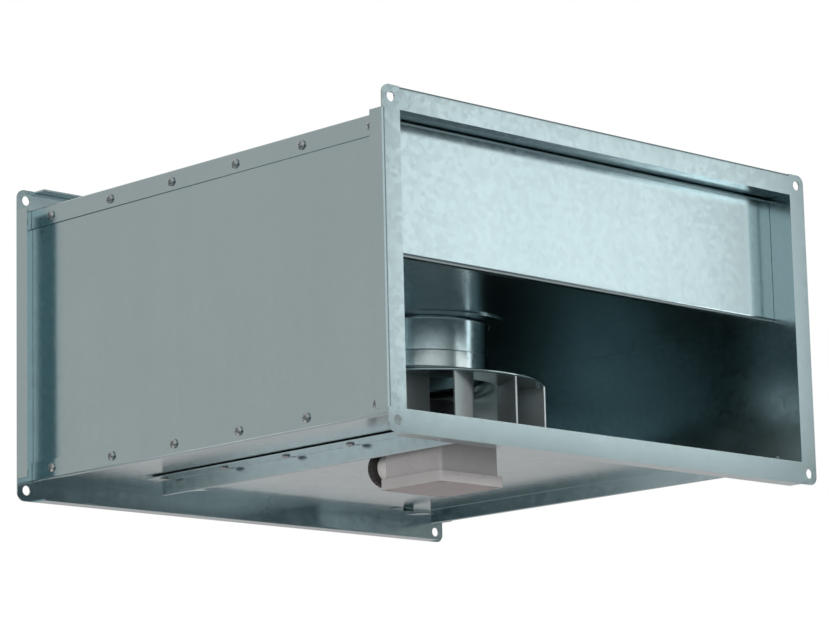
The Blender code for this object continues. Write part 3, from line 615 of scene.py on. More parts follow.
def cast_look(slot, dark, light):
    """Cast metal with a pebbled skin."""
    look = Look(slot)
    look.metallic()
    look.colour(look.noise(140.0, detail=5.0, roughness=0.6), dark, light)
    look.roughness(look.spread(look.noise(420.0, detail=3.0), 0.42, 0.62))
    look.bump((look.noise(650.0, detail=4.0, roughness=0.6), 0.00012))
    return look.material


def laminated_look(slot, dark, light):
    """A stack of thin iron laminations."""
    look = Look(slot)
    look.metallic()
    stack = look.waves(320.0, "Z", distortion=0.2)
    shade = look.combined(stack, look.noise(90.0, detail=4.0), "MULTIPLY")
    look.colour(shade, dark, light, source=(0.1, 0.6))
    look.roughness(look.spread(look.noise(300.0, detail=3.0), 0.35, 0.6))
    look.bump((stack, 0.00008))
    return look.material


def winding_look(slot, dark, light):
    """Enamelled wire laid side by side."""
    look = Look(slot)
    look.metallic()
    wires = look.waves(260.0, "DIAGONAL", distortion=2.5)
    look.colour(wires, dark, light, source=(0.1, 0.9))
    look.roughness(look.spread(look.noise(350.0, detail=3.0), 0.22, 0.42))
    look.bump((wires, 0.0002))
    return look.material


def painted_look(slot, dark, light):
    """Satin paint with a slight orange peel."""
    look = Look(slot)
    look.colour(look.noise(60.0, detail=4.0), dark, light)
    look.roughness(look.spread(look.noise(260.0, detail=3.0), 0.30, 0.46))
    look.shader.inputs["Coat Weight"].default_value = 0.2
    look.bump((look.noise(420.0, detail=3.0), 0.00004))
    return look.material


def floor_look():
    """Pale studio floor, which is clear from below."""
    look = Look("floor")
    look.colour(look.noise(0.7, detail=3.0), (0.84, 0.82, 0.815), (0.87, 0.85, 0.845))
    look.shader.inputs["Emission Color"].default_value = (*FLOOR_GLOW, 1.0)
    look.shader.inputs["Emission Strength"].default_value = FLOOR_GLOW_STRENGTH
    look.roughness(look.spread(look.noise(3.0, detail=3.0), 0.75, 0.9))
    clear = look.nodes.new("ShaderNodeBsdfTransparent")
    side = look.nodes.new("ShaderNodeNewGeometry")
    mix = look.nodes.new("ShaderNodeMixShader")
    look.links.new(side.outputs["Backfacing"], mix.inputs[0])
    look.links.new(look.shader.outputs["BSDF"], mix.inputs[1])
    look.links.new(clear.outputs["BSDF"], mix.inputs[2])
    look.links.new(mix.outputs["Shader"], look.nodes["Material Output"].inputs["Surface"])
    return look.material


ZINC = zinc_look(
    "galvanised_sheet",
    dark=(0.472, 0.582, 0.605),
    light=(0.500, 0.610, 0.632),
    rough_low=0.17,
    rough_high=0.23,
    wave_height=0.0003,
)
BRIGHT = zinc_look(
    "bright_zinc",
    dark=(0.54, 0.62, 0.635),
    light=(0.60, 0.68, 0.695),
    rough_low=0.14,
    rough_high=0.20,
    wave_height=0.0002,
)
BLADE_ZINC = zinc_look(
    "bright_zinc",
    dark=(0.60, 0.66, 0.665),
    light=(0.66, 0.72, 0.725),
    rough_low=0.30,
    rough_high=0.40,
    wave_height=0.0002,
    metallic=0.78,
)
SCREW_STEEL = screw_look("screw_steel", (0.40, 0.43, 0.44), (0.58, 0.61, 0.62))
BEARING_STEEL = screw_look("bearing_steel", (0.50, 0.51, 0.52), (0.68, 0.69, 0.70))
IRON = laminated_look("iron_core", (0.10, 0.10, 0.105), (0.34, 0.34, 0.35))
CAST = cast_look("cast_aluminium", (0.36, 0.37, 0.38), (0.56, 0.57, 0.58))
ROTOR_PAINT = painted_look("black_rotor", (0.012, 0.012, 0.014), (0.030, 0.030, 0.034))
COPPER = winding_look("copper_winding", (0.30, 0.10, 0.04), (0.66, 0.30, 0.14))
RUBBER = rubber_look("black_rubber", (0.010, 0.010, 0.010), (0.028, 0.028, 0.028))
CABLE = rubber_look("cable_sheath", (0.018, 0.018, 0.018), (0.040, 0.040, 0.040))
BLACK_PLASTIC = moulded_look(
    "black_plastic",
    dark=(0.014, 0.013, 0.012),
    light=(0.034, 0.032, 0.030),
    roughness=0.38,
    texture_scale=1800.0,
    texture_height=0.00002,
)
BOX_GREY = moulded_look(
    "box_grey",
    dark=(0.400, 0.385, 0.385),
    light=(0.440, 0.425, 0.425),
    roughness=0.62,
    texture_scale=1500.0,
    texture_height=0.00003,
)
GLAND_GREY = moulded_look(
    "gland_grey",
    dark=(0.50, 0.49, 0.48),
    light=(0.60, 0.585, 0.575),
    roughness=0.36,
    texture_scale=1500.0,
    texture_height=0.00002,
)
TERMINAL = moulded_look(
    "terminal_plastic",
    dark=(0.66, 0.65, 0.61),
    light=(0.78, 0.77, 0.72),
    roughness=0.42,
    texture_scale=1500.0,
    texture_height=0.00002,
)


# ---------------------------------------------------------------------- casing


def duct_opening():
    """The inside of one half of the duct, to cut with."""
    return box((-HALF_WIDTH, 0, -HALF_HEIGHT), (HALF_WIDTH, 1, HALF_HEIGHT))


def duct_flange(name, node, side):
    """Front plate with rounded corners, bent lips between them and a sleeve inside."""
    outer_x = HALF_WIDTH + FLANGE_BAR
    outer_z = HALF_HEIGHT + FLANGE_BAR
    reach = FLANGE_BEND + FLANGE_SHEET / 2
    back = HALF_LENGTH - FLANGE_SHEET
    plate = placed(prism(rectangle(outer_x, outer_z, FLANGE_CORNER, 12), back, HALF_LENGTH), ALONG_Y)
    notches = [
        box((sign * (outer_x - reach), 0, -HALF_HEIGHT), (sign * (outer_x + reach), 1, HALF_HEIGHT))
        for sign in (-1, 1)
    ] + [
        box((-HALF_WIDTH, 0, sign * (outer_z - reach)), (HALF_WIDTH, 1, sign * (outer_z + reach)))
        for sign in (-1, 1)
    ]
    hole_x = outer_x - FLANGE_BAR / 2
    hole_z = outer_z - FLANGE_BAR / 2
    holes = [
        plug(FLANGE_HOLE_RADIUS, -1, 1, facing((x * hole_x, 0, z * hole_z), REARWARDS))
        for x in (-1, 1)
        for z in (-1, 1)
    ]
    flange = boolean(plate, gathered([*notches, duct_opening(), *holes]))

    face = HALF_LENGTH - FLANGE_SHEET / 2
    lip_end = HALF_LENGTH - FLANGE_LIP_DEPTH
    for sign in (-1, 1):
        edge = sign * (outer_x - FLANGE_SHEET / 2)
        start = edge - sign * (reach + SHEETS_OVERLAP)
        line = rounded_line([(start, face), (edge, face), (edge, lip_end)], FLANGE_BEND, 8)
        upright = bent_sheet(line, FLANGE_SHEET, Matrix.Identity(4), -HALF_HEIGHT, HALF_HEIGHT)
        flange = boolean(flange, upright, "UNION")
        edge = sign * (outer_z - FLANGE_SHEET / 2)
        start = edge - sign * (reach + SHEETS_OVERLAP)
        line = rounded_line([(face, start), (face, edge), (lip_end, edge)], FLANGE_BEND, 8)
        level = bent_sheet(line, FLANGE_SHEET, ALONG_X, -HALF_WIDTH, HALF_WIDTH)
        flange = boolean(flange, level, "UNION")
    sleeve_end = HALF_LENGTH - FLANGE_SLEEVE_DEPTH
    outside = box(
        (-HALF_WIDTH - SHEET, sleeve_end, -HALF_HEIGHT - SHEET),
        (HALF_WIDTH + SHEET, back + SHEETS_OVERLAP, HALF_HEIGHT + SHEET),
    )
    flange = boolean(flange, boolean(outside, duct_opening()), "UNION")
    if side < 0:
        placed(flange, Matrix.Rotation(math.pi, 4, "Z"))
    add_piece(name, flange, ZINC, "casing", [node])


def cover_sheet(side):
    """Top or bottom of the casing, with lips that reach over the side panels."""
    lip_end = side * LIP_END_Z
    level = side * COVER_CENTRE_Z
    left, right = -LIP_CENTRE_X, LIP_CENTRE_X
    line = [(left, lip_end), (left, level), (right, level), (right, lip_end)]
    return bent_sheet(rounded_line(line, COVER_BEND), SHEET, ALONG_Y, -PANEL_END, PANEL_END)


def covers():
    """Top cover, and bottom cover with the hatch opening."""
    add_piece("top_cover", cover_sheet(1), ZINC, "casing", ["top_panel"])
    half_length = (OPENING_REAR - OPENING_FRONT) / 2
    middle = (0.0, (OPENING_REAR + OPENING_FRONT) / 2)
    outline = rectangle(OPENING_HALF_WIDTH, half_length, OPENING_CORNER, 6, middle)
    floor_sheet = boolean(cover_sheet(-1), prism(outline, *FLOOR_CUT))
    add_piece("bottom_cover", floor_sheet, ZINC, "casing", ["bottom_panel"])


def screw_mesh(radius, height, shank_radius, shank_length):
    """Pan head screw along +Z with a cross recess."""
    drop = radius * 0.9
    crown = arc((0, -drop), height + drop, 90, 62, 6)
    side_height = height * 0.48
    side = [(radius, side_height), (radius, 0.0), (shank_radius, 0.0), (shank_radius, -shank_length)]
    head = turned([*crown, *side, (0.0, -shank_length)], SMALL_ROUND)
    half_slot, half_wing, recess = radius * 0.13, radius * 0.56, height * 0.45
    across = box((-half_wing, -half_slot, recess), (half_wing, half_slot, 1))
    along = box((-half_slot, -half_wing, recess), (half_slot, half_wing, 1))
    return boolean(head, boolean(across, along, "UNION"))


def screw_pattern(name, body, edge=FINE_EDGE, **sizes):
    """A screw that copies are made from, and that is removed after them."""
    return add_piece(name, screw_mesh(**sizes), SCREW_STEEL, body, edge=edge)


def screw_place(position, direction, turn):
    """Where a screw's head looks along a direction, with its recess turned."""
    return facing(position, direction) @ Matrix.Rotation(turn, 4, "Z")


def side_screws():
    """Four rows of screws through the covers' lips."""
    pattern = screw_pattern(
        "screw_pattern",
        "casing",
        radius=0.0042,
        height=0.0024,
        shank_radius=0.0019,
        shank_length=0.0044,
    )
    for row, side_x, side_z in (
        ("left_top", -1, 1),
        ("left_bottom", -1, -1),
        ("right_top", 1, 1),
        ("right_bottom", 1, -1),
    ):
        for number, y in enumerate(SCREW_Y, start=1):
            spot = (side_x * (LIP_OUTER_X + CLEARANCE), y, side_z * SCREW_Z)
            turn = number * SIDE_SCREW_TURN + side_x + side_z / 2
            place = screw_place(spot, (side_x, 0, 0), turn)
            name = f"{row}_{number}"
            copy_of(pattern, f"side_screw_{name}", place, "casing", [f"screw_{name}"])
    bpy.data.objects.remove(pattern)


def partition():
    """Stepped sheet: front wall above, plate at mid height, rear wall below."""
    wall = PARTITION_WALL_Y
    line = [
        (-wall + PARTITION_FOOT, PARTITION_EDGE_Z),
        (-wall, PARTITION_EDGE_Z),
        (-wall, PARTITION_Z),
        (wall, PARTITION_Z),
        (wall, -PARTITION_EDGE_Z),
        (wall - PARTITION_FOOT, -PARTITION_EDGE_Z),
    ]
    line = rounded_line(line, PARTITION_BEND, 12)
    sheet = bent_sheet(line, SHEET, ALONG_X, -PARTITION_HALF_WIDTH, PARTITION_HALF_WIDTH)
    hole = plug(PARTITION_HOLE_RADIUS, 0, PARTITION_HOLE_TOP, steps=ROUND)
    add_piece("stepped_partition", boolean(sheet, hole), ZINC, "casing", ["partition"])


def inlet_cone():
    """Flange under the partition, a tight flare and a neck that narrows a little."""
    centre = (CONE_NECK_RADIUS + CONE_FLARE_RADIUS, CONE_LEVEL - CONE_FLARE_RADIUS)
    flare = arc(centre, CONE_FLARE_RADIUS, 90, 180, 10)
    line = [(CONE_FLANGE_RADIUS, CONE_LEVEL), *flare, (CONE_END_RADIUS, CONE_END_Z)]
    cone = turned(thick_line(line, SHEET))
    add_piece("inlet_nozzle", cone, ZINC, "casing", ["inlet_cone"])


def earth_stud():
    """Small domed stud on the lower edge of the outlet."""
    dome = arc((0, -STUD_DOME_DROP), STUD_DOME_RADIUS, 90, 24, 8)
    profile = [*dome, (STUD_RADIUS, 0.0), (0.0, 0.0)]
    stud = turned(profile, SMALL_ROUND, Matrix.Translation(STUD_PLACE))
    add_piece("bonding_stud", stud, BRIGHT, "casing", ["earth_stud"], edge=0)


def hatch_hooks():
    """Two tongues that slope under the rear edge of the hatch."""
    line = rounded_line([*HOOK_FOOT, *HOOK_TONGUE], HOOK_BEND, 6)
    for name, side in (("left", -1), ("right", 1)):
        low = side * HOOK_X - HOOK_WIDTH / 2
        hook = bent_sheet(line, SHEET, ALONG_X, low, low + HOOK_WIDTH)
        add_piece(f"tongue_{name}", hook, ZINC, "casing", [f"hatch_hook_{name}"])


# -------------------------------------------------------------------- impeller


def blade_outline(start_angle):
    """One curved blade, from its outer edge inwards."""
    point = Vector((WHEEL_RADIUS - BLADE_TIP_GAP, 0)) @ Matrix.Rotation(-start_angle, 2)
    heading = start_angle + math.pi - BLADE_CHORD_ANGLE
    step = BLADE_LENGTH / BLADE_STEPS
    line = [tuple(point)]
    for k in range(BLADE_STEPS):
        direction = heading + BLADE_TURN * (k + 0.5) / BLADE_STEPS
        point = point + Vector((math.cos(direction), math.sin(direction))) * step
        line.append(tuple(point))
    return thick_line(line, BLADE_SHEET)


def impeller_wheel():
    """Backplate with its blades."""
    low = BACKPLATE_Z - BACKPLATE_SHEET
    plate = turned(
        [(WHEEL_RADIUS, BACKPLATE_Z), (WHEEL_RADIUS, low), (HUB_HOLE, low), (HUB_HOLE, BACKPLATE_Z)]
    )
    foot = BACKPLATE_Z - BLADE_SINK
    blades = [
        prism(blade_outline(BLADE_FIRST_ANGLE + 2 * math.pi * k / BLADE_COUNT), foot, SHROUD_Z)
        for k in range(BLADE_COUNT)
    ]
    wheel = boolean(plate, gathered(blades), "UNION")
    add_piece("wheel_with_blades", wheel, BLADE_ZINC, "rotor", ["impeller_wheel"])


def impeller_shroud():
    """Front ring with a collar, a flare and a rolled rim."""
    centre = (COLLAR_RADIUS + SHROUD_FLARE, SHROUD_Z + SHROUD_FLARE)
    flare = arc(centre, SHROUD_FLARE, 180, 270, 14)
    flat_end = WHEEL_RADIUS - 2.4 * RIM_RADIUS
    sheet = thick_line([(COLLAR_RADIUS, COLLAR_TOP), *flare, (flat_end, SHROUD_Z)], SHEET)
    half = len(sheet) // 2
    rim = arc((WHEEL_RADIUS - RIM_RADIUS, SHROUD_Z), RIM_RADIUS, -160, 160, 16)
    shroud = turned([*sheet[:half], *rim, *sheet[half:]])
    add_piece("front_ring", shroud, BRIGHT, "rotor", ["impeller_shroud"])


def balance_clip():
    """Small bent clip under the ring, beside its rim."""
    inner, outer = CLIP_INNER_RADIUS, CLIP_OUTER_RADIUS
    jaws = [(inner, CLIP_TOP), (outer, CLIP_TOP), (outer, CLIP_LOW), (inner, CLIP_LOW)]
    line = rounded_line(jaws, CLIP_BEND, 5)
    clip = bent_sheet(line, CLIP_SHEET, ALONG_Y, -CLIP_HALF_WIDTH, CLIP_HALF_WIDTH)
    placed(clip, Matrix.Rotation(CLIP_ANGLE, 4, "Z"))
    add_piece("balancing_clip", clip, BRIGHT, "rotor", ["balance_clip"], edge=FINE_EDGE)


def rotor_can():
    """External rotor with a dished cap, a flange and a ring of small balance pockets."""
    inner = ROTOR_RADIUS - ROTOR_WALL
    shoulder = (ROTOR_RADIUS - ROTOR_ROUNDING, ROTOR_TOP - ROTOR_ROUNDING)
    profile = [
        (0.0, ROTOR_TOP - CAP_STEP),
        (CAP_INNER_RADIUS, ROTOR_TOP - CAP_STEP),
        (CAP_OUTER_RADIUS, ROTOR_TOP),
        *arc(shoulder, ROTOR_ROUNDING, 90, 0, 8),
        (ROTOR_RADIUS, ROTOR_FLANGE_TOP),
        (ROTOR_FLANGE_RADIUS, ROTOR_FLANGE_TOP),
        (ROTOR_FLANGE_RADIUS, ROTOR_FLANGE_LOW),
        (ROTOR_RADIUS, ROTOR_FLANGE_LOW),
        (ROTOR_RADIUS, ROTOR_BOTTOM),
        (inner, ROTOR_BOTTOM),
        (inner, ROTOR_TOP - ROTOR_WALL),
        (0.0, ROTOR_TOP - ROTOR_WALL),
    ]
    pockets = []
    for k in range(POCKET_COUNT):
        angle = 2 * math.pi * k / POCKET_COUNT
        spot = (POCKET_CIRCLE * math.cos(angle), POCKET_CIRCLE * math.sin(angle), ROTOR_TOP)
        place = Matrix.Translation(spot)
        pockets.append(plug(POCKET_RADIUS, -POCKET_DEPTH, CUT_PROUD, place, POCKET_ROUND))
    can = boolean(turned(profile), gathered(pockets))
    add_piece("rotor_housing", can, ROTOR_PAINT, "rotor", ["rotor_can"])


# ----------------------------------------------------------------------- hatch


def hatch_panel():
    """Sheet with a rib folded down on each side, slots beside the screws and a hole for the lead."""
    half = [
        (HATCH_HALF_WIDTH, HATCH_Z),
        (RIB_OUTER_X, HATCH_Z),
        (RIB_OUTER_X, RIB_LOW_Z),
        (RIB_INNER_X, RIB_LOW_Z),
        (RIB_INNER_X, HATCH_Z),
    ]
    line = [(-x, z) for x, z in half] + half[::-1]
    panel = bent_sheet(rounded_line(line, RIB_BEND, 6), SHEET, ALONG_Y, HATCH_FRONT, HATCH_REAR)
    slot = rectangle(SLOT_WIDTH / 2, SLOT_LENGTH / 2, SLOT_CORNER, 6)
    cuts = [
        placed(prism(slot, *FLOOR_CUT), Matrix.Translation((side * SLOT_X, y, 0)))
        for side in (-1, 1)
        for y in HATCH_SCREW_Y
    ]
    cuts.append(plug(LEAD_HOLE_RADIUS, *FLOOR_CUT, Matrix.Translation((*LEAD_ENTRY, 0))))
    add_piece("service_hatch", boolean(panel, gathered(cuts)), ZINC, "hatch", ["hatch_panel"])


def hatch_screws():
    """Screws along both sides of the hatch, and those of the motor base in its middle."""
    under = HATCH_Z - SHEET / 2
    pattern = screw_pattern(
        "hatch_screw_pattern",
        "hatch",
        radius=0.0038,
        height=0.0022,
        shank_radius=0.0016,
        shank_length=0.0006,
    )
    for name, side in (("left", -1), ("right", 1)):
        for number, y in enumerate(HATCH_SCREW_Y, start=1):
            spot = (side * HATCH_SCREW_X, y, under)
            place = screw_place(spot, DOWNWARDS, number * HATCH_SCREW_TURN)
            copy_of(pattern, f"hatch_screw_{name}_{number}", place, "hatch")
    for number in range(MOTOR_SCREW_COUNT):
        angle = math.pi / 4 + 2 * math.pi * number / MOTOR_SCREW_COUNT
        spot = (MOTOR_SCREW_CIRCLE * math.cos(angle), MOTOR_SCREW_CIRCLE * math.sin(angle), under)
        place = screw_place(spot, DOWNWARDS, number * MOTOR_SCREW_TURN)
        copy_of(pattern, f"motor_screw_{number + 1}", place, "hatch")
    bpy.data.objects.remove(pattern)


# ---------------------------------------------------------------- terminal box


def box_hollow():
    """Outline of the box's inside."""
    return rectangle(BOX_HALF_X - BOX_WALL, BOX_HALF_Y - BOX_WALL, BOX_CORNER / 2, 6, BOX_CENTRE)


def gland_seat():
    """Where the gland comes out of the box's rear wall."""
    return facing((GLAND_X, BOX_CENTRE.y + BOX_HALF_Y, GLAND_Z), REARWARDS)


def knock_out(position, direction, radius):
    """A shallow ring to cut into a wall."""
    inner = radius - KNOCK_OUT_GROOVE
    ring = [
        (radius, CUT_PROUD),
        (radius, -KNOCK_OUT_DEPTH),
        (inner, -KNOCK_OUT_DEPTH),
        (inner, CUT_PROUD),
    ]
    return turned(ring, SMALL_ROUND, facing(position, direction))


def terminal_box():
    """Box open below, with holes for the lead and the gland, and knock-outs in its other walls."""
    x, y = BOX_CENTRE
    outline = rectangle(BOX_HALF_X, BOX_HALF_Y, BOX_CORNER, 8, BOX_CENTRE)
    box_mesh = prism(outline, BOX_RIM_Z, BOX_TOP_Z)
    cuts = [
        prism(box_hollow(), BOX_RIM_Z - CUT_REACH, BOX_TOP_Z - BOX_WALL),
        plug(LEAD_HOLE_RADIUS, -CUT_REACH, CUT_REACH, Matrix.Translation((*LEAD_ENTRY, BOX_TOP_Z))),
        plug(GLAND_NECK + CLEARANCE, -CUT_REACH, CUT_REACH, gland_seat()),
    ]
    for cut in cuts:
        box_mesh = boolean(box_mesh, cut)
    front = y - BOX_HALF_Y
    side_y = y + KNOCK_OUT_SIDE_Y
    middle = (BOX_TOP_Z + BOX_RIM_Z) / 2
    marks = [
        knock_out((x + KNOCK_OUT_LEFT_X, front, middle), (0, -1, 0), KNOCK_OUT_RADIUS),
        knock_out((x + KNOCK_OUT_RIGHT_X, front, middle), (0, -1, 0), KNOCK_OUT_SMALL_RADIUS),
        knock_out((x - BOX_HALF_X, side_y, middle), (-1, 0, 0), KNOCK_OUT_RADIUS),
        knock_out((x + BOX_HALF_X, side_y, middle), (1, 0, 0), KNOCK_OUT_RADIUS),
    ]
    box_mesh = boolean(box_mesh, gathered(marks))
    add_piece("junction_box", box_mesh, BOX_GREY, "hatch", ["terminal_box"], edge=BOX_EDGE)


def box_lid():
    """Lid with a skirt round the box's rim, screws sunk in its corners and grips in its sides."""
    x, y = BOX_CENTRE
    half_x, half_y = BOX_HALF_X + LID_OVERHANG, BOX_HALF_Y + LID_OVERHANG
    skirt_top = LID_TOP_Z + LID_SKIRT
    lid = prism(rectangle(half_x, half_y, LID_CORNER, 8, BOX_CENTRE), LID_LOW_Z, skirt_top)
    rim = rectangle(BOX_HALF_X + CLEARANCE, BOX_HALF_Y + CLEARANCE, BOX_CORNER, 8, BOX_CENTRE)
    lid = boolean(lid, prism(rim, LID_TOP_Z, skirt_top + CUT_REACH))
    lid = boolean(lid, prism(box_hollow(), LID_LOW_Z + BOX_WALL, skirt_top + CUT_REACH))
    corners = [
        (x + side_x * (half_x - LID_SCREW_INSET), y + side_y * (half_y - LID_SCREW_INSET))
        for side_x in (-1, 1)
        for side_y in (-1, 1)
    ]
    seats = [
        plug(LID_SEAT_RADIUS, -CUT_PROUD, LID_SEAT_DEPTH, Matrix.Translation((*corner, LID_LOW_Z)))
        for corner in corners
    ]
    grips = [
        box(
            (x + grip_x - GRIP_HALF_WIDTH, wall - GRIP_DEPTH, skirt_top - GRIP_HEIGHT),
            (x + grip_x + GRIP_HALF_WIDTH, wall + GRIP_DEPTH, skirt_top + CUT_PROUD),
        )
        for wall in (y - half_y, y + half_y)
        for grip_x in (-GRIP_X, GRIP_X)
    ]
    lid = boolean(lid, gathered([*seats, *grips]))
    add_piece("junction_box_lid", lid, BOX_GREY, "hatch", ["terminal_box_lid"], edge=LID_EDGE)
    pattern = screw_pattern(
        "lid_screw_pattern",
        "hatch",
        edge=0,
        radius=0.0028,
        height=0.0010,
        shank_radius=0.0012,
        shank_length=0.0004,
    )
    for number, corner in enumerate(corners, start=1):
        spot = (*corner, LID_LOW_Z + LID_SEAT_DEPTH)
        place = screw_place(spot, DOWNWARDS, number * LID_SCREW_TURN)
        copy_of(pattern, f"lid_screw_{number}", place, "hatch")
    bpy.data.objects.remove(pattern)


def gland():
    """Cable gland with a groove round its body, and its fluted dome nut."""
    rounding = (GLAND_RADIUS - GLAND_ROUNDING, GLAND_BODY_END - GLAND_ROUNDING)
    groove = GLAND_RADIUS - GROOVE_DEPTH
    body = [
        *arc(rounding, GLAND_ROUNDING, 90, 0, 5),
        (GLAND_RADIUS, GROOVE_END),
        (groove, GROOVE_END - GROOVE_SLOPE),
        (groove, GROOVE_START + GROOVE_SLOPE),
        (GLAND_RADIUS, GROOVE_START),
        (GLAND_RADIUS, CLEARANCE),
        (GLAND_NECK, CLEARANCE),
        (GLAND_NECK, -GLAND_TAIL),
        (GLAND_BORE, -GLAND_TAIL),
        (GLAND_BORE, GLAND_BODY_END),
    ]
    body_mesh = turned(body, GLAND_ROUND, gland_seat())
    add_piece("gland_body", body_mesh, GLAND_GREY, "hatch", ["cable_gland"])
    nut = [
        *arc((NUT_DOME_CENTRE, NUT_END - NUT_DOME_RADIUS), NUT_DOME_RADIUS, 90, 14, 8),
        (NUT_RADIUS, NUT_END - NUT_SHOULDER),
        (NUT_RADIUS, NUT_START + NUT_CHAMFER_HEIGHT),
        (NUT_RADIUS - NUT_CHAMFER, NUT_START),
        (GLAND_BORE, NUT_START),
        (GLAND_BORE, NUT_END),
    ]
    nut_mesh = turned(nut, NUT_ROUND, gland_seat(), flutes=NUT_FLUTES, flute_depth=NUT_FLUTE_DEPTH)
    add_piece("gland_dome_nut", nut_mesh, BLACK_PLASTIC, "hatch", ["gland_nut"])


# ------------------------------------------------------------------ carried over


def carried_over():
    """CAD nodes whose shape is right keep it, and take a finish."""
    looks = {
        "left_side_panel": ZINC,
        "right_side_panel": ZINC,
        "hatch_gasket": RUBBER,
        "box_gasket": RUBBER,
        "lead_grommet": RUBBER,
        "gland_seal": RUBBER,
        "motor_lead": CABLE,
        "motor_base": CAST,
        "stator_core": IRON,
        "rotor_cage": IRON,
        "winding_upper": COPPER,
        "winding_lower": COPPER,
        "bearing_upper": BEARING_STEEL,
        "bearing_lower": BEARING_STEEL,
        "motor_shaft": BEARING_STEEL,
        "terminal_block": TERMINAL,
    }
    for name, look in looks.items():
        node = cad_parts[name]
        node.data.materials.clear()
        node.data.materials.append(look)


# ----------------------------------------------------------------------- studio


class Surroundings:
    """The studio around the fan, as colours that depend on direction."""

    def __init__(self):
        world = bpy.data.worlds.new("studio")
        bpy.context.scene.world = world
        world.use_nodes = True
        self.nodes, self.links = world.node_tree.nodes, world.node_tree.links
        self.direction = self.nodes.new("ShaderNodeTexCoord").outputs["Generated"]

    def share(self, towards, low, high):
        """0 to 1 as the direction turns towards a vector, between two cosines."""
        dot = self.nodes.new("ShaderNodeVectorMath")
        dot.operation = "DOT_PRODUCT"
        dot.inputs[1].default_value = towards
        self.links.new(self.direction, dot.inputs[0])
        step = self.nodes.new("ShaderNodeMapRange")
        step.interpolation_type = "SMOOTHSTEP"
        step.inputs["From Min"].default_value = low
        step.inputs["From Max"].default_value = high
        self.links.new(dot.outputs["Value"], step.inputs["Value"])
        return step.outputs["Result"]

    def ramp(self, share, start, end):
        """A colour that goes from one stop to another, each a place and a colour."""
        node = self.nodes.new("ShaderNodeValToRGB")
        for element, (position, colour) in zip(node.color_ramp.elements, (start, end)):
            element.position = position
            element.color = (*colour, 1.0)
        self.links.new(share, node.inputs["Fac"])
        return node.outputs["Color"]

    def mix(self, share, first, second):
        """One colour where the share is 0 and another where it is 1."""
        node = self.nodes.new("ShaderNodeMixRGB")
        self.links.new(share, node.inputs["Fac"])
        for socket, value in (("Color1", first), ("Color2", second)):
            if isinstance(value, tuple):
                node.inputs[socket].default_value = (*value, 1.0)
            else:
                self.links.new(value, node.inputs[socket])
        return node.outputs["Color"]

    def show(self, colour):
        self.links.new(colour, self.nodes["Background"].inputs["Color"])


def studio_world():
    """Pale at the left front and right rear, dim elsewhere, rosy below and white to the camera."""
    studio = Surroundings()
    across = studio.share(RIGHT_FRONT, low=-1.0, high=1.0)
    above = studio.ramp(across, (0.45, DIM_LEFT), (0.75, DIM_RIGHT))
    below = studio.ramp(across, (0.30, DARK_LEFT), (0.70, DARK_RIGHT))
    above = studio.mix(studio.share(RIGHT_REAR, low=0.45, high=0.85), above, BACKDROP)
    above = studio.mix(studio.share(LEFT_FRONT, low=0.40, high=0.90), above, PALE_FRONT)
    below = studio.mix(studio.share(RIGHT_REAR, low=0.30, high=0.80), below, ROSY_FLOOR)
    below = studio.mix(studio.share(DOWNWARDS, low=0.35, high=0.60), below, ROSY_BELOW)
    around = studio.mix(studio.share(UPWARDS, low=-0.02, high=0.08), below, above)
    seen = studio.nodes.new("ShaderNodeLightPath").outputs["Is Camera Ray"]
    studio.show(studio.mix(seen, around, BACKDROP))


def area_light(name, place, target, size, power, colour, mirrored=True):
    """A light panel that the camera doesn't see, and metal only where it is mirrored."""
    data = bpy.data.lights.new(name, "AREA")
    data.shape = "RECTANGLE"
    data.size, data.size_y = size
    data.energy = power
    data.color = colour
    light = bpy.data.objects.new(name, data)
    bpy.context.scene.collection.objects.link(light)
    light.location = place
    light.rotation_mode = "QUATERNION"
    light.rotation_quaternion = (Vector(target) - Vector(place)).to_track_quat("-Z", "Y")
    light.visible_camera = False
    light.visible_glossy = mirrored


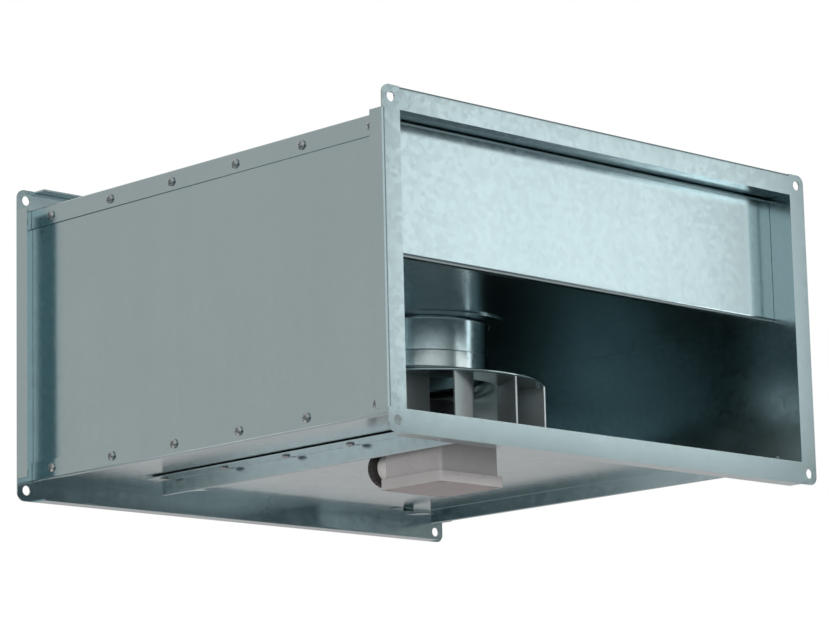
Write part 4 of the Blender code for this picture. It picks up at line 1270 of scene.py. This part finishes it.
def studio_lights():
    """A panel before the outlet and two small lights low down, then two that metal doesn't mirror."""
    area_light(
        "front_panel",
        place=FRONT_PANEL_PLACE,
        target=FRONT_PANEL_TARGET,
        size=FRONT_PANEL_SIZE,
        power=1.04,
        colour=COOL_LIGHT,
    )
    area_light(
        "low_front",
        place=(0.98, -0.90, -0.17),
        target=(0.2, -0.1, 0.03),
        size=(0.18, 0.20),
        power=0.38,
        colour=COOL_LIGHT,
    )
    area_light(
        "low_left",
        place=(-0.74, 0.512, -0.32),
        target=(-0.14, -0.10, -0.15),
        size=(0.27, 0.34),
        power=0.25,
        colour=ROSY_LIGHT,
    )
    area_light(
        "key",
        place=(-3.1, -2.3, -0.2),
        target=(0, 0, 0),
        size=(1.6, 1.6),
        power=74,
        colour=KEY_LIGHT,
        mirrored=False,
    )
    area_light(
        "fill",
        place=(1.3, -1.7, 0.55),
        target=(0, -0.1, -0.08),
        size=(0.7, 0.5),
        power=42,
        colour=FILL_LIGHT,
        mirrored=False,
    )


def studio_floor():
    """Wide floor that lights and reflections on the fan don't come from."""
    bm = bmesh.new()
    bmesh.ops.create_grid(bm, x_segments=8, y_segments=8, size=FLOOR_HALF_SIZE)
    bmesh.ops.translate(bm, verts=bm.verts, vec=(0, 0, FLOOR_Z))
    mesh = bpy.data.meshes.new("studio_floor")
    bm.to_mesh(mesh)
    bm.free()
    ground = bpy.data.objects.new("studio_floor", mesh)
    bpy.context.scene.collection.objects.link(ground)
    mesh.materials.append(floor_look())
    ground.visible_glossy = False
    ground.visible_diffuse = False


def studio_camera():
    """Long lens from below and the left, looking up into the outlet."""
    data = bpy.data.cameras.new("camera")
    data.lens = CAMERA_LENS
    data.sensor_width = SENSOR_WIDTH
    data.clip_start = 0.01
    data.clip_end = 100.0
    camera = bpy.data.objects.new("camera", data)
    bpy.context.scene.collection.objects.link(camera)
    camera.location = CAMERA_PLACE
    camera.rotation_mode = "QUATERNION"
    aim = (CAMERA_TARGET - CAMERA_PLACE).to_track_quat("-Z", "Y")
    camera.rotation_quaternion = aim @ Quaternion((0, 0, 1), CAMERA_ROLL)
    bpy.context.scene.camera = camera


bpy.context.scene.view_settings.view_transform = "Standard"
studio_camera()
studio_world()
studio_lights()
studio_floor()

duct_flange("outlet_flange_frame", "outlet_flange", -1)
duct_flange("inlet_flange_frame", "inlet_flange", 1)
covers()
side_screws()
partition()
inlet_cone()
earth_stud()
hatch_hooks()
impeller_wheel()
impeller_shroud()
balance_clip()
rotor_can()
hatch_panel()
hatch_screws()
terminal_box()
box_lid()
gland()
carried_over()
